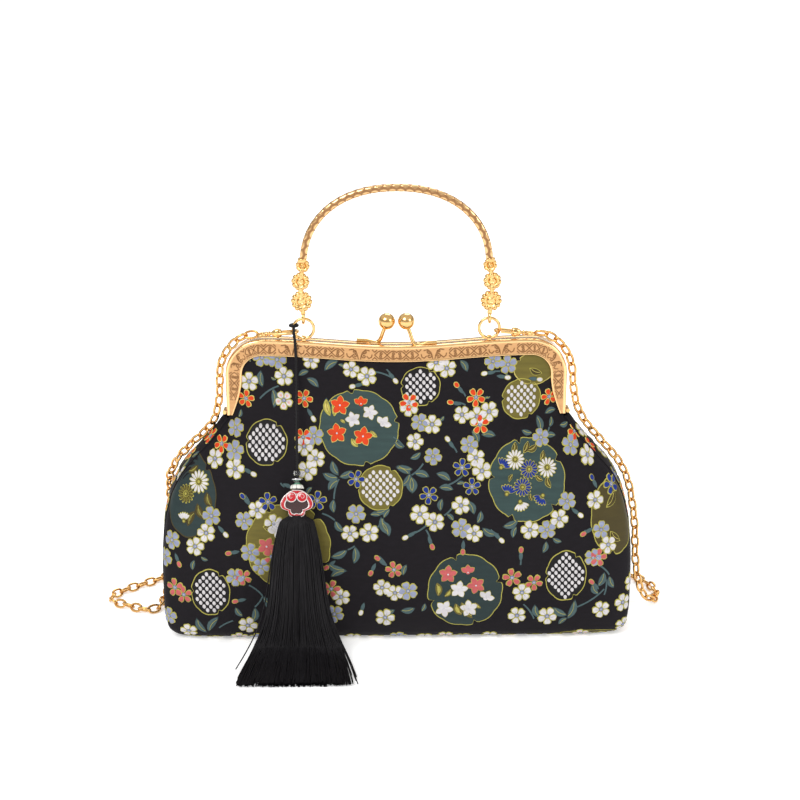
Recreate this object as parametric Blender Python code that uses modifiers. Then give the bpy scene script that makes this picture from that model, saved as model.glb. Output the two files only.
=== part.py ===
"""Evening clutch with a metal purse frame, an arch handle, a chain strap and a tassel.

The bag stands on the plane z = 0 with its front towards -Y and its width along X. The
origin is the centre of the base. Lengths are in metres.
"""
import math

import bmesh
import bpy
from mathutils import Matrix, Vector

MM = 0.001
GAP = 0.3 * MM
TINY = 1e-6
WELD = 5e-6

# Purse frame: two pressed halves that meet at y = 0
FRAME_WIDTH = 180.0 * MM
FRAME_TOP = 156.5 * MM
LEG_END = 115.5 * MM
CORNER_RADIUS = 19.0 * MM
TOP_DIP = 3.6 * MM
BAND = 8.8 * MM
LEG_TIP = 3.4 * MM
HALF_DEPTH = 5.4 * MM
SHEET = 0.9 * MM
HINGE_RADIUS = 1.1 * MM
HINGE_LENGTH = 7.0 * MM

# Cloth body
BODY_WIDTH = 252.0 * MM
BODY_DEPTH = 87.0 * MM
CLOTH = 2.0 * MM
SIDE_BULGE = 2.3 * MM
SEAM_GAP = 0.6 * MM

# Carry rings and their straps on the front half of the frame
RING_SPACING = 97.0 * MM
RING_DIAMETER = 12.3 * MM
RING_WIRE = 1.6 * MM
STRAP_WIDTH = 1.9 * MM
STRAP_SHEET = 0.6 * MM

# Arch handle
ARCH_HALF_SPAN = RING_SPACING / 2 - 0.5 * MM
ARCH_TOP = 235.5 * MM
ARCH_ROUNDNESS = 2.2
ARCH_SINK = 0.12
HANDLE_TUBE = 4.2 * MM
ROSETTE_DEPTH = 3.2 * MM
STALK = 2.6 * MM
EYE_WIDTH = 4.6 * MM
EYE_HEIGHT = 6.4 * MM
EYE_BORE = 2.9 * MM

# Kiss lock
LOCK_BALL = 8.9 * MM
LOCK_SPACING = 10.2 * MM
LOCK_WIRE = 2.1 * MM
LOCK_RISE = 12.2 * MM
LOCK_FOOT_REACH = 21.0 * MM
LOCK_NUB = 1.9 * MM

# Lobster clasps
CLASP_LENGTH = 10.0 * MM
CLASP_HALF = 2.9 * MM
CLASP_WIRE = 1.7 * MM
CLASP_TILT = math.radians(5.0)
CLASP_BASE_WIDTH = 4.6 * MM
CLASP_BASE_THICKNESS = 3.0 * MM
LEVER_THICKNESS = 1.2 * MM
LEVER_PIN = 0.8 * MM
LEVER_PLACE = -1.2 * MM
LEVER_BORE = 1.5 * MM
LEVER_SLOT = 4.6 * MM
LEVER_SLOT_DEPTH = 4.2 * MM
SWIVEL_NECK = 1.8 * MM
SWIVEL_COLLAR = 3.0 * MM
SWIVEL_CUP = 2.6 * MM
SWIVEL_START = 2.9 * MM
COLLAR_PLACE = 4.9 * MM
CUP_PLACE = 5.9 * MM
SWIVEL_END = 6.3 * MM
EYELET_RADIUS = 2.3 * MM
EYELET_WIRE = 1.2 * MM

# Chain strap, a tube that stands for the cable chain
CHAIN_TUBE = 4.4 * MM

# Tassel
CORD = 1.6 * MM
BEAD = 4.0 * MM
BEAD_START = 3.2 * MM
DISC = 6.2 * MM
DISC_THICKNESS = 2.2 * MM
CAP = 7.4 * MM
CAP_HEIGHT = 3.4 * MM
CHARM_WIDTH = 17.2 * MM
CHARM_HEIGHT = 14.4 * MM
CHARM_THICKNESS = 4.6 * MM
CHARM_EDGE = 0.7 * MM
CORD_BORE = 2.2 * MM
SKIRT_WIDTH = 18.6 * MM
SKIRT_DEPTH = 9.0 * MM
LOCKS = 8
LOCK_GROOVE = 0.14
LOCK_RAGGED = 5.0 * MM

# Sections of the cloth body up to the frame's leg ends. rise is a share of LEG_END;
# edge_x is the share of the way from the frame's channel out to the body's full width;
# edge_y and crown_y are shares of half BODY_DEPTH; power and fall shape the front between
# its two seams.
BODY_SECTIONS = (
    # rise, edge_x, edge_y, crown_y, power, fall
    (0.000, 0.651, 0.610, 0.724, 5.0, 0.20),
    (0.019, 0.810, 0.655, 0.850, 4.6, 0.22),
    (0.061, 0.909, 0.667, 0.943, 4.2, 0.24),
    (0.139, 0.942, 0.655, 0.993, 3.8, 0.26),
    (0.330, 0.946, 0.595, 0.995, 3.4, 0.30),
    (0.510, 0.915, 0.520, 0.935, 3.1, 0.34),
    (0.640, 0.831, 0.440, 0.850, 2.9, 0.39),
    (0.735, 0.692, 0.362, 0.765, 2.7, 0.45),
    (0.820, 0.465, 0.275, 0.672, 2.6, 0.52),
    (0.900, 0.224, 0.192, 0.570, 2.4, 0.63),
    (0.960, 0.082, 0.138, 0.492, 2.3, 0.75),
    (0.985, 0.018, 0.108, 0.456, 2.2, 0.85),
)
# The front above the leg ends. climb is a share of the height from LEG_END to the
# frame's band; crown is the share that is left of the crown at the leg ends.
FLAP_SECTIONS = (
    # climb, crown, fall
    (0.00, 1.00, 0.90),
    (0.12, 0.90, 0.95),
    (0.36, 0.66, 1.05),
    (0.64, 0.36, 1.10),
    (0.86, 0.12, 1.10),
    (1.00, 0.00, 1.00),
)
# Heights inside the frame's channel, as an angle on its corner
CHANNEL_ANGLES = (64.0, 90.0)
PANEL_COLUMNS = 16

# The kiss lock's stem below its ball: outward and down as shares of LOCK_BALL, and
# forward as a share of the foot's offset
LOCK_STEM = (
    (0.00, 0.00, 0.00),
    (0.16, 0.20, 0.50),
    (0.28, 0.56, 0.78),
)

# The clasp's hook as shares of CLASP_LENGTH and CLASP_HALF
HOOK_ROUTE = (
    (-0.10, -0.72),
    (0.20, -0.95),
    (0.50, -1.00),
    (0.80, -0.82),
    (0.96, -0.38),
    (0.99, 0.10),
    (0.93, 0.60),
    (0.84, 0.90),
)
# The clasp's base as shares of CLASP_LENGTH and of half CLASP_BASE_WIDTH
BASE_OUTLINE = (
    (-0.36, 0.45),
    (-0.22, 0.95),
    (-0.06, 1.10),
    (0.03, 0.60),
    (0.03, -1.00),
    (-0.06, -1.10),
    (-0.22, -0.95),
    (-0.36, -0.45),
)
# The lever about its pin, as shares of CLASP_LENGTH
LEVER_OUTLINE = (
    (-0.105, -0.035),
    (-0.040, -0.100),
    (0.090, -0.095),
    (0.260, -0.010),
    (0.830, -0.028),
    (0.835, 0.121),
    (0.240, 0.135),
    (0.150, 0.260),
    (0.050, 0.280),
    (-0.010, 0.220),
    (0.020, 0.115),
    (-0.070, 0.080),
)
# The right half of the charm's cloud, as shares of half its width and height
CHARM_OUTLINE = (
    (0.00, 0.98),
    (0.26, 0.95),
    (0.52, 0.80),
    (0.78, 0.52),
    (0.96, 0.16),
    (0.99, -0.14),
    (0.88, -0.38),
    (0.66, -0.50),
    (0.52, -0.56),
    (0.50, -0.74),
    (0.38, -0.93),
    (0.18, -0.99),
    (0.00, -0.93),
)

# Rosettes from the ring upwards: height above the hinge axis, sideways shift from the
# ring's centre, diameter
ROSETTES = (
    (9.2 * MM, 0.7 * MM, 11.2 * MM),
    (19.6 * MM, 1.1 * MM, 9.6 * MM),
    (28.0 * MM, -0.2 * MM, 7.4 * MM),
)
ROSETTE_PETALS = 10

# Route of the chain strap from the left clasp to the right one. out is in millimetres
# past the anchor: the clasp's eye, the frame's side or the body's side at that height. up
# counts from the floor to the frame's leg ends and its top; ahead is a share of half
# BODY_DEPTH.
LEFT = -1
RIGHT = 1
EYE = 0
FRAME = 1
BODY = 2
CHAIN_ROUTE = (
    # side, anchor, out, ahead, up
    (LEFT, EYE, 0.0, -0.067, 2.017),
    (LEFT, EYE, 4.4, -0.074, 2.015),
    (LEFT, FRAME, -7.3, -0.076, 2.001),
    (LEFT, FRAME, -2.7, -0.076, 1.895),
    (LEFT, FRAME, 1.0, -0.076, 1.759),
    (LEFT, FRAME, 2.9, -0.076, 1.585),
    (LEFT, FRAME, 3.3, -0.076, 1.354),
    (LEFT, FRAME, 4.4, -0.074, 1.146),
    (LEFT, BODY, 4.2, -0.046, 0.970),
    (LEFT, BODY, 4.0, 0.000, 0.914),
    (LEFT, BODY, 4.7, 0.046, 0.840),
    (LEFT, BODY, 3.9, 0.138, 0.752),
    (LEFT, BODY, 3.2, 0.276, 0.658),
    (LEFT, BODY, 2.6, 0.448, 0.571),
    (LEFT, BODY, 1.3, 0.621, 0.459),
    (LEFT, BODY, -0.0, 0.782, 0.329),
    (LEFT, BODY, 0.1, 0.908, 0.199),
    (LEFT, BODY, 2.6, 0.966, 0.091),
    (LEFT, BODY, 10.9, 0.908, 0.029),
    (LEFT, BODY, 20.6, 0.736, 0.021),
    (LEFT, BODY, 31.6, 0.529, 0.021),
    (LEFT, BODY, 38.6, 0.333, 0.021),
    (LEFT, BODY, 37.1, 0.149, 0.021),
    (LEFT, BODY, 27.7, 0.023, 0.021),
    (LEFT, BODY, 18.1, -0.092, 0.021),
    (LEFT, BODY, 11.6, -0.046, 0.021),
    (LEFT, BODY, 9.6, 0.161, 0.021),
    (LEFT, BODY, 9.0, 0.460, 0.021),
    (LEFT, BODY, 5.6, 0.782, 0.021),
    (LEFT, BODY, -3.4, 1.034, 0.021),
    (LEFT, BODY, -23.4, 1.126, 0.021),
    (LEFT, BODY, -61.4, 1.145, 0.021),
    (LEFT, BODY, -101.4, 1.126, 0.021),
    (RIGHT, BODY, -101.4, 1.145, 0.021),
    (RIGHT, BODY, -61.4, 1.126, 0.021),
    (RIGHT, BODY, -23.4, 1.138, 0.021),
    (RIGHT, BODY, 0.6, 1.069, 0.021),
    (RIGHT, BODY, 15.6, 0.828, 0.021),
    (RIGHT, BODY, 24.1, 0.552, 0.021),
    (RIGHT, BODY, 26.1, 0.264, 0.021),
    (RIGHT, BODY, 21.5, 0.057, 0.028),
    (RIGHT, BODY, 12.5, -0.014, 0.074),
    (RIGHT, BODY, 7.8, -0.028, 0.156),
    (RIGHT, BODY, 5.8, -0.023, 0.277),
    (RIGHT, BODY, 5.3, -0.018, 0.416),
    (RIGHT, BODY, 4.5, -0.014, 0.537),
    (RIGHT, BODY, 4.5, -0.018, 0.649),
    (RIGHT, BODY, 5.2, -0.028, 0.750),
    (RIGHT, BODY, 6.0, -0.041, 0.845),
    (RIGHT, BODY, 6.4, -0.055, 0.932),
    (RIGHT, BODY, 5.8, -0.067, 1.012),
    (RIGHT, FRAME, 4.6, -0.074, 1.232),
    (RIGHT, FRAME, 3.2, -0.076, 1.476),
    (RIGHT, FRAME, 2.4, -0.076, 1.646),
    (RIGHT, FRAME, -0.4, -0.076, 1.817),
    (RIGHT, FRAME, -5.0, -0.076, 1.959),
    (RIGHT, EYE, 4.8, -0.074, 2.014),
    (RIGHT, EYE, 0.0, -0.067, 2.017),
)
CHAIN_SEGMENTS = 72

# Route of the tassel's cord from the left ring to the head of the tassel, in millimetres,
# with x counted from the ring's centre
CORD_ROUTE = (
    (-5.0, -5.4, 163.1),
    (-4.9, -6.5, 162.0),
    (-4.8, -7.2, 160.0),
    (-4.4, -7.6, 156.5),
    (-4.2, -7.8, 152.0),
    (-4.0, -8.2, 146.5),
    (-3.9, -10.2, 140.0),
    (-3.8, -13.2, 133.0),
    (-3.7, -16.9, 126.0),
    (-3.7, -20.8, 118.5),
    (-3.6, -24.4, 111.5),
    (-3.5, -28.2, 104.5),
    (-3.3, -31.8, 98.2),
    (-3.3, -35.36, 91.04),
    (-3.3, -38.93, 83.87),
    (-3.3, -42.05, 77.6),
    (-3.3, -44.25, 73.2),
)
CORD_SEGMENTS = 26
LOOP_RISE = 1.75 * MM
TASSEL_X = -RING_SPACING / 2 - 3.3 * MM
TASSEL_TOP = Vector((TASSEL_X, -31.8 * MM, 98.2 * MM))
TASSEL_HEAD = Vector((TASSEL_X, -44.45 * MM, 72.77 * MM))

# The skirt's middle line, from its head down and out over the floor, in millimetres, with
# its width and thickness there as shares of SKIRT_WIDTH and SKIRT_DEPTH
SKIRT_ROUTE = (
    # y, z, width, thickness
    (-44.45, 72.77, 0.52, 0.42),
    (-44.90, 71.85, 0.88, 0.80),
    (-46.40, 68.00, 1.02, 1.00),
    (-49.60, 57.00, 1.24, 1.08),
    (-52.00, 42.00, 1.44, 1.08),
    (-53.60, 27.00, 1.64, 1.00),
    (-55.60, 14.00, 2.00, 0.90),
    (-61.00, 4.60, 2.45, 0.74),
    (-73.00, 2.40, 2.80, 0.50),
    (-89.00, 1.30, 3.10, 0.26),
)


def material(name, colour, roughness, metallic):
    """A principled material with one colour."""
    made = bpy.data.materials.new(name)
    made.use_nodes = True
    shader = made.node_tree.nodes["Principled BSDF"]
    shader.inputs["Base Color"].default_value = (*colour, 1.0)
    shader.inputs["Roughness"].default_value = roughness
    shader.inputs["Metallic"].default_value = metallic
    return made


def place(name, data, finish, collection):
    """Put a mesh or a curve in the scene as one named object."""
    thing = bpy.data.objects.new(name, data)
    if finish is not None:
        thing.data.materials.append(finish)
    collection.objects.link(thing)
    return thing


def from_bmesh(name, shape, finish, collection):
    """Turn a bmesh into an object."""
    mesh = bpy.data.meshes.new(name)
    shape.to_mesh(mesh)
    shape.free()
    return place(name, mesh, finish, collection)


def smooth(thing, angle=35.0):
    """Shade smooth, with sharp edges past the angle."""
    thing.data.shade_smooth()
    thing.data.set_sharp_from_angle(angle=math.radians(angle))


def spline_points(route, count, closed=False):
    """Even points on a smooth curve through the route."""
    points = [Vector(point) for point in route]
    last = len(points)
    spans = last if closed else last - 1
    fine = []
    steps = 24
    for span in range(spans):
        if closed:
            a, b, c, d = (points[(span + k) % last] for k in (-1, 0, 1, 2))
        else:
            b, c = points[span], points[span + 1]
            a = points[span - 1] if span > 0 else b * 2 - c
            d = points[span + 2] if span + 2 < last else c * 2 - b
        for step in range(steps):
            t = step / steps
            curve = (b * 2 + (c - a) * t + (a * 2 - b * 5 + c * 4 - d) * t ** 2
                     + (b * 3 - a - c * 3 + d) * t ** 3) * 0.5
            fine.append(curve)
    fine.append(points[0].copy() if closed else points[-1].copy())
    travelled = [0.0]
    for first, second in zip(fine, fine[1:]):
        travelled.append(travelled[-1] + (second - first).length)
    result = []
    number = count if closed else count - 1
    index = 0
    for k in range(count):
        target = travelled[-1] * k / number
        while index < len(fine) - 2 and travelled[index + 1] < target:
            index += 1
        span = travelled[index + 1] - travelled[index]
        share = (target - travelled[index]) / span if span else 0.0
        result.append(fine[index].lerp(fine[index + 1], share))
    return result


def wire(name, points, diameter, finish, collection, sides=2, closed=False, widths=None):
    """A round wire or tube along points."""
    curve = bpy.data.curves.new(name, "CURVE")
    curve.dimensions = "3D"
    curve.bevel_depth = diameter / 2
    curve.bevel_resolution = sides
    curve.use_fill_caps = not closed
    spline = curve.splines.new("POLY")
    spline.points.add(len(points) - 1)
    for k, point in enumerate(points):
        spline.points[k].co = (*point, 1.0)
        if widths is not None:
            spline.points[k].radius = widths[k]
    spline.use_cyclic_u = closed
    return place(name, curve, finish, collection)


def as_mesh(thing):
    """Replace a curve object by a welded mesh object."""
    bpy.context.view_layer.update()
    graph = bpy.context.evaluated_depsgraph_get()
    mesh = bpy.data.meshes.new_from_object(thing.evaluated_get(graph))
    shape = bmesh.new()
    shape.from_mesh(mesh)
    bmesh.ops.remove_doubles(shape, verts=shape.verts, dist=WELD)
    shape.to_mesh(mesh)
    shape.free()
    name = thing.name
    finish = thing.active_material
    home = thing.users_collection[0]
    bpy.data.objects.remove(thing)
    mesh.materials.clear()
    return place(name, mesh, finish, home)


def plate(name, outline, thickness, rounding, finish, collection):
    """A flat plate from an outline in X and Y, extruded along Z about 0."""
    curve = bpy.data.curves.new(name, "CURVE")
    curve.dimensions = "2D"
    curve.fill_mode = "BOTH"
    curve.extrude = thickness / 2 - rounding
    curve.bevel_depth = rounding
    curve.bevel_resolution = 0
    curve.offset = -rounding
    spline = curve.splines.new("POLY")
    spline.points.add(len(outline) - 1)
    for k, (x, y) in enumerate(outline):
        spline.points[k].co = (x, y, 0.0, 1.0)
    spline.use_cyclic_u = True
    return as_mesh(place(name, curve, finish, collection))


def move_mesh(thing, matrix):
    """Move a mesh object's points by a matrix."""
    thing.data.transform(matrix)


def boolean(thing, other, operation, hidden):
    """Cut or join two meshes with a live modifier."""
    modifier = thing.modifiers.new(operation.title(), "BOOLEAN")
    modifier.operation = operation
    modifier.solver = "EXACT"
    modifier.object = other
    for home in list(other.users_collection):
        home.objects.unlink(other)
    hidden.objects.link(other)
    other.hide_render = True
    other.display_type = "WIRE"


def cylinder(name, radius, depth, centre, direction, sides, collection):
    """A cylinder about its centre, with its axis along a direction."""
    shape = bmesh.new()
    turn = Vector(direction).to_track_quat("Z", "Y").to_matrix().to_4x4()
    bmesh.ops.create_cone(shape, cap_ends=True, segments=sides, radius1=radius, radius2=radius,
                          depth=depth, matrix=Matrix.Translation(centre) @ turn)
    return from_bmesh(name, shape, None, collection)


def ball(name, diameter, centre, squeeze, finish, collection, columns=12, rows=8):
    """A ball or an egg about its centre."""
    shape = bmesh.new()
    bmesh.ops.create_uvsphere(shape, u_segments=columns, v_segments=rows, radius=diameter / 2)
    bmesh.ops.scale(shape, vec=squeeze, verts=shape.verts)
    bmesh.ops.translate(shape, vec=centre, verts=shape.verts)
    return from_bmesh(name, shape, finish, collection)


def dip(x):
    """How far the frame's top lies below its shoulders."""
    reach = FRAME_WIDTH / 2 - CORNER_RADIUS
    if abs(x) >= reach:
        return 0.0
    return TOP_DIP / 2 * (1 + math.cos(math.pi * x / reach))


def frame_stations():
    """Points along the frame's outer edge, with the band's width at each."""
    half = FRAME_WIDTH / 2
    shoulder = FRAME_TOP - CORNER_RADIUS
    stations = []
    for share in (0.0, 0.35, 0.7, 1.0):
        height = LEG_END + (shoulder - LEG_END) * share
        width = LEG_TIP + (BAND - LEG_TIP) * math.sin(share * math.pi / 2)
        stations.append((-half, height, width))
    for step in range(1, 8):
        angle = math.pi / 2 * step / 7
        stations.append((-half + CORNER_RADIUS * (1 - math.cos(angle)),
                         shoulder + CORNER_RADIUS * math.sin(angle), BAND))
    reach = half - CORNER_RADIUS
    for step in range(1, 6):
        x = -reach + reach * step / 6
        stations.append((x, FRAME_TOP - dip(x), BAND))
    mirrored = [(-x, z, width) for x, z, width in reversed(stations)]
    return stations + [(0.0, FRAME_TOP - TOP_DIP, BAND)] + mirrored


def inset_edge(stations, inset):
    """The frame's edge moved inwards, by a function of the band's width."""
    edge = []
    last = len(stations) - 1
    for k, (x, z, width) in enumerate(stations):
        before = stations[max(k - 1, 0)]
        after = stations[min(k + 1, last)]
        along = Vector((after[0] - before[0], after[1] - before[1]))
        if k in (0, last):
            along = Vector((0.0, 1.0 if k == 0 else -1.0))
        along.normalize()
        inward = Vector((along.y, -along.x))
        edge.append((x + inward.x * inset(width), z + inward.y * inset(width)))
    return edge


def frame_half(name, side, finish, collection, hidden):
    """One half of the purse frame: a pressed channel, open on its inner side."""
    stations = frame_stations()
    outer = inset_edge(stations, lambda width: 0.0)
    inner = inset_edge(stations, lambda width: width)
    depth = HALF_DEPTH - GAP / 2
    upright = Matrix.Rotation(math.pi / 2, 4, "X")
    middle = Matrix.Translation((0.0, side * (GAP / 2 + depth / 2), 0.0))
    half = plate(name, outer + inner[::-1], depth, 0.0, finish, collection)
    move_mesh(half, middle @ upright)
    slot_outer = inset_edge(stations, lambda width: SHEET)
    slot_inner = inset_edge(stations, lambda width: width + 3 * SHEET)
    below = 4 * SHEET
    for edge in (slot_outer, slot_inner):
        edge.insert(0, (edge[0][0], edge[0][1] - below))
        edge.append((edge[-1][0], edge[-1][1] - below))
    slot = plate(name + "_channel", slot_outer + slot_inner[::-1], depth - 2 * SHEET, 0.0,
                 None, hidden)
    move_mesh(slot, middle @ upright)
    boolean(half, slot, "DIFFERENCE", hidden)
    return half


def blend_rows(table, share):
    """Read a table of sections at a height share, straight between its rows."""
    for low, high in zip(table, table[1:]):
        if share <= high[0]:
            part = (share - low[0]) / (high[0] - low[0])
            return [a + (b - a) * part for a, b in zip(low, high)][1:]
    return list(table[-1][1:])


def channel_depth():
    """Where the cloth's outer face lies inside the frame's channel."""
    return HALF_DEPTH - SHEET - GAP


def seam(rise):
    """Half width and half depth of the body at its seam, and its crown there."""
    edge_x, edge_y, crown_y, power, fall = blend_rows(BODY_SECTIONS, rise)
    slot = FRAME_WIDTH / 2 - SHEET - GAP
    return (slot + (BODY_WIDTH / 2 - slot) * edge_x, edge_y * BODY_DEPTH / 2,
            crown_y * BODY_DEPTH / 2, power, fall)


def panel_rows():
    """Rows of the front panel: height, dip share, half width, swell width, edge and crown
    depths, power and fall."""
    rows = []
    for section in BODY_SECTIONS:
        edge_x, edge_y, crown_y, power, fall = seam(section[0])
        rows.append((section[0] * LEG_END, 0.0, edge_x, edge_x, edge_y, crown_y, power, fall))
    flat = channel_depth()
    shoulder = FRAME_TOP - CORNER_RADIUS
    band_edge = FRAME_TOP - BAND
    crown_here = rows[-1][5]
    slot = FRAME_WIDTH / 2 - SHEET - GAP
    for climb, crown, fall in FLAP_SECTIONS:
        height = LEG_END + (band_edge - LEG_END) * climb
        up_leg = min((height - LEG_END) / (shoulder - LEG_END), 1.0)
        width = LEG_TIP + (BAND - LEG_TIP) * math.sin(up_leg * math.pi / 2)
        corner = CORNER_RADIUS - SHEET - GAP
        lean = max(height - shoulder, 0.0)
        edge = slot - corner + math.sqrt(corner ** 2 - lean ** 2)
        swell = min(edge, FRAME_WIDTH / 2 - width - 2 * GAP - 0.55 * lean)
        rows.append((height, climb, edge, swell, flat, flat + (crown_here - flat) * crown,
                     2.2, fall))
    for angle in CHANNEL_ANGLES:
        turn = math.radians(angle)
        corner = CORNER_RADIUS - SHEET - GAP
        height = shoulder + corner * math.sin(turn)
        edge = slot - corner + corner * math.cos(turn)
        rows.append((height, 1.0, edge, edge, flat, flat, 2.2, 1.0))
    return rows


def column_share(column):
    """Where a panel's column lies between its seams, from -1 to 1."""
    return math.sin(math.pi / 2 * (2 * column / PANEL_COLUMNS - 1))


def panel_point(row, share, side):
    """A point on the outside of the front or back panel."""
    height, sag, edge, swell, edge_y, crown_y, power, fall = row
    x = share * edge
    if swell < edge:
        inner = abs(share) / column_share(PANEL_COLUMNS - 1)
        x = math.copysign(inner * swell if inner <= 1.0 + TINY else edge, share)
    inside = max(1 - (abs(x) / swell) ** power, 0.0)
    y = edge_y + (crown_y - edge_y) * inside ** fall
    return Vector((x, side * y, height - sag * dip(x)))


def body_panel(name, side, finish, collection):
    """The front or back of the cloth body, from the base up into the frame."""
    shape = bmesh.new()
    grid = []
    for row in panel_rows():
        points = [panel_point(row, column_share(k), side) for k in range(PANEL_COLUMNS + 1)]
        grid.append([shape.verts.new(point) for point in points])
    for low, high in zip(grid, grid[1:]):
        for k in range(PANEL_COLUMNS):
            corners = (low[k], low[k + 1], high[k + 1], high[k])
            shape.faces.new(corners if side < 0 else corners[::-1])
    panel = from_bmesh(name, shape, finish, collection)
    thicken = panel.modifiers.new("Cloth", "SOLIDIFY")
    thicken.thickness = CLOTH
    thicken.offset = -1.0
    smooth(panel)
    return panel


def set_back(along, panel_run, strip_run):
    """How far the strip's edge stays off the seam, so that two thick sheets clear there."""
    turn = along.cross(panel_run).angle(along.cross(strip_run))
    return SEAM_GAP + CLOTH * (math.sin(turn) if turn < math.pi / 2 else 1.0)


def gusset_stations():
    """The strip's middle line on the right side and base: x, z, half width and bulge."""
    rows = panel_rows()[:len(BODY_SECTIONS)]
    stations = []
    for k in range(len(rows) - 1, -1, -1):
        row = rows[k]
        corner = panel_point(row, 1.0, 1)
        bulge = SIDE_BULGE * min(1.0, row[0] / SIDE_BULGE / 3)
        above = panel_point(rows[min(k + 1, len(rows) - 1)], 1.0, 1)
        below = panel_point(rows[max(k - 1, 0)], 1.0, 1)
        panel_run = corner - panel_point(row, column_share(PANEL_COLUMNS - 1), 1)
        strip_run = Vector((bulge * 0.75, -corner.y / 2, 0.0))
        half = corner.y - set_back(above - below, panel_run, strip_run)
        stations.append((corner.x, corner.z, half, bulge))
    for column in range(PANEL_COLUMNS - 1, 0, -1):
        share = column_share(column)
        corner = panel_point(rows[0], share, 1)
        along = (panel_point(rows[0], column_share(column + 1), 1)
                 - panel_point(rows[0], column_share(column - 1), 1))
        panel_run = corner - panel_point(rows[1], share, 1)
        half = corner.y - set_back(along, panel_run, Vector((0.0, -1.0, 0.0)))
        stations.append((corner.x, 0.0, half, 0.0))
    left = [(-x, z, half, bulge) for x, z, half, bulge in stations[len(rows) - 1::-1]]
    return stations + left


def gusset(finish, collection):
    """The strip that makes the body's two sides and its base."""
    shape = bmesh.new()
    grid = []
    strips = 4
    for x, z, half, bulge in gusset_stations():
        row = []
        for column in range(strips + 1):
            share = 2 * column / strips - 1
            out = bulge * (1 - share ** 2)
            row.append(shape.verts.new((x + math.copysign(out, x), share * half, z)))
        grid.append(row)
    for low, high in zip(grid, grid[1:]):
        for k in range(strips):
            shape.faces.new((low[k], low[k + 1], high[k + 1], high[k]))
    lowest = min(shape.faces, key=lambda face: face.calc_center_median().z)
    lowest.normal_update()
    if lowest.normal.z > 0:
        bmesh.ops.reverse_faces(shape, faces=shape.faces)
    strip = from_bmesh("bag_gusset", shape, finish, collection)
    thicken = strip.modifiers.new("Cloth", "SOLIDIFY")
    thicken.thickness = CLOTH
    thicken.offset = -1.0
    smooth(strip)
    return strip


def ring_centre(side):
    """Centre of a carry ring, which stands on the frame's top."""
    x = side * RING_SPACING / 2
    top = FRAME_TOP - dip(x)
    return Vector((x, ring_plane(), top + GAP + RING_DIAMETER / 2))


def ring_plane():
    """The rings and the handle stand over the middle of the front half."""
    return -HALF_DEPTH / 2


def carry_ring(name, side, finish, collection):
    """A round wire ring that faces the front."""
    radius = (RING_DIAMETER - RING_WIRE) / 2
    centre = ring_centre(side)
    points = []
    count = 18
    for k in range(count):
        angle = 2 * math.pi * k / count
        points.append(centre + Vector((math.cos(angle), 0.0, math.sin(angle))) * radius)
    return wire(name, points, RING_WIRE, finish, collection, sides=1, closed=True)


def ring_strap(name, side, finish, collection):
    """A narrow metal strap over a ring's lowest point, on the frame's top."""
    inner = RING_WIRE / 2 + GAP
    outer = inner + STRAP_SHEET
    centre = ring_centre(side)
    wire_height = centre.z - (RING_DIAMETER - RING_WIRE) / 2
    foot = FRAME_TOP - dip(centre.x) + GAP / 3 - wire_height
    outline = []
    for k in range(9):
        angle = math.pi * k / 8
        outline.append((outer * math.cos(angle), outer * math.sin(angle)))
    outline.append((-outer, foot))
    outline.append((-inner, foot))
    for k in range(9):
        angle = math.pi * (1 - k / 8)
        outline.append((inner * math.cos(angle), inner * math.sin(angle)))
    outline.append((inner, foot))
    outline.append((outer, foot))
    strap = plate(name, outline, STRAP_WIDTH, 0.0, finish, collection)
    turn = Matrix(((0, 0, 1, 0), (1, 0, 0, 0), (0, 1, 0, 0), (0, 0, 0, 1)))
    move_mesh(strap, Matrix.Translation((centre.x, centre.y, wire_height)) @ turn)
    return strap


def hinge_height():
    """Height of the handle's axis, through the top of both rings."""
    return ring_centre(1).z + (RING_DIAMETER - RING_WIRE) / 2


def handle_arch(axis, finish, collection):
    """The arch tube, between the two cast ends."""
    height, _, diameter = ROSETTES[-1]
    foot = hinge_height() + height + diameter / 2 + GAP
    rise = ARCH_TOP - foot
    sink = ARCH_SINK * rise
    tall = rise + sink
    start = math.asin((sink / tall) ** (ARCH_ROUNDNESS / 2))
    points = []
    count = 26
    for k in range(count):
        angle = start + (math.pi - 2 * start) * k / (count - 1)
        across = math.copysign(abs(math.cos(angle)) ** (2 / ARCH_ROUNDNESS), math.cos(angle))
        up = abs(math.sin(angle)) ** (2 / ARCH_ROUNDNESS)
        points.append((ARCH_HALF_SPAN * across, 0.0, foot - sink + tall * up - axis.z))
    tube = wire("handle_arch", points, HANDLE_TUBE, finish, collection)
    tube.location = axis
    return tube


def rosette_outline(diameter):
    """A scalloped disc with a petal for each scallop."""
    outline = []
    for k in range(2 * ROSETTE_PETALS):
        angle = math.pi * k / ROSETTE_PETALS
        radius = diameter / 2 * (1.0 if k % 2 == 0 else 0.93)
        outline.append((radius * math.sin(angle), radius * math.cos(angle)))
    return outline


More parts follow.
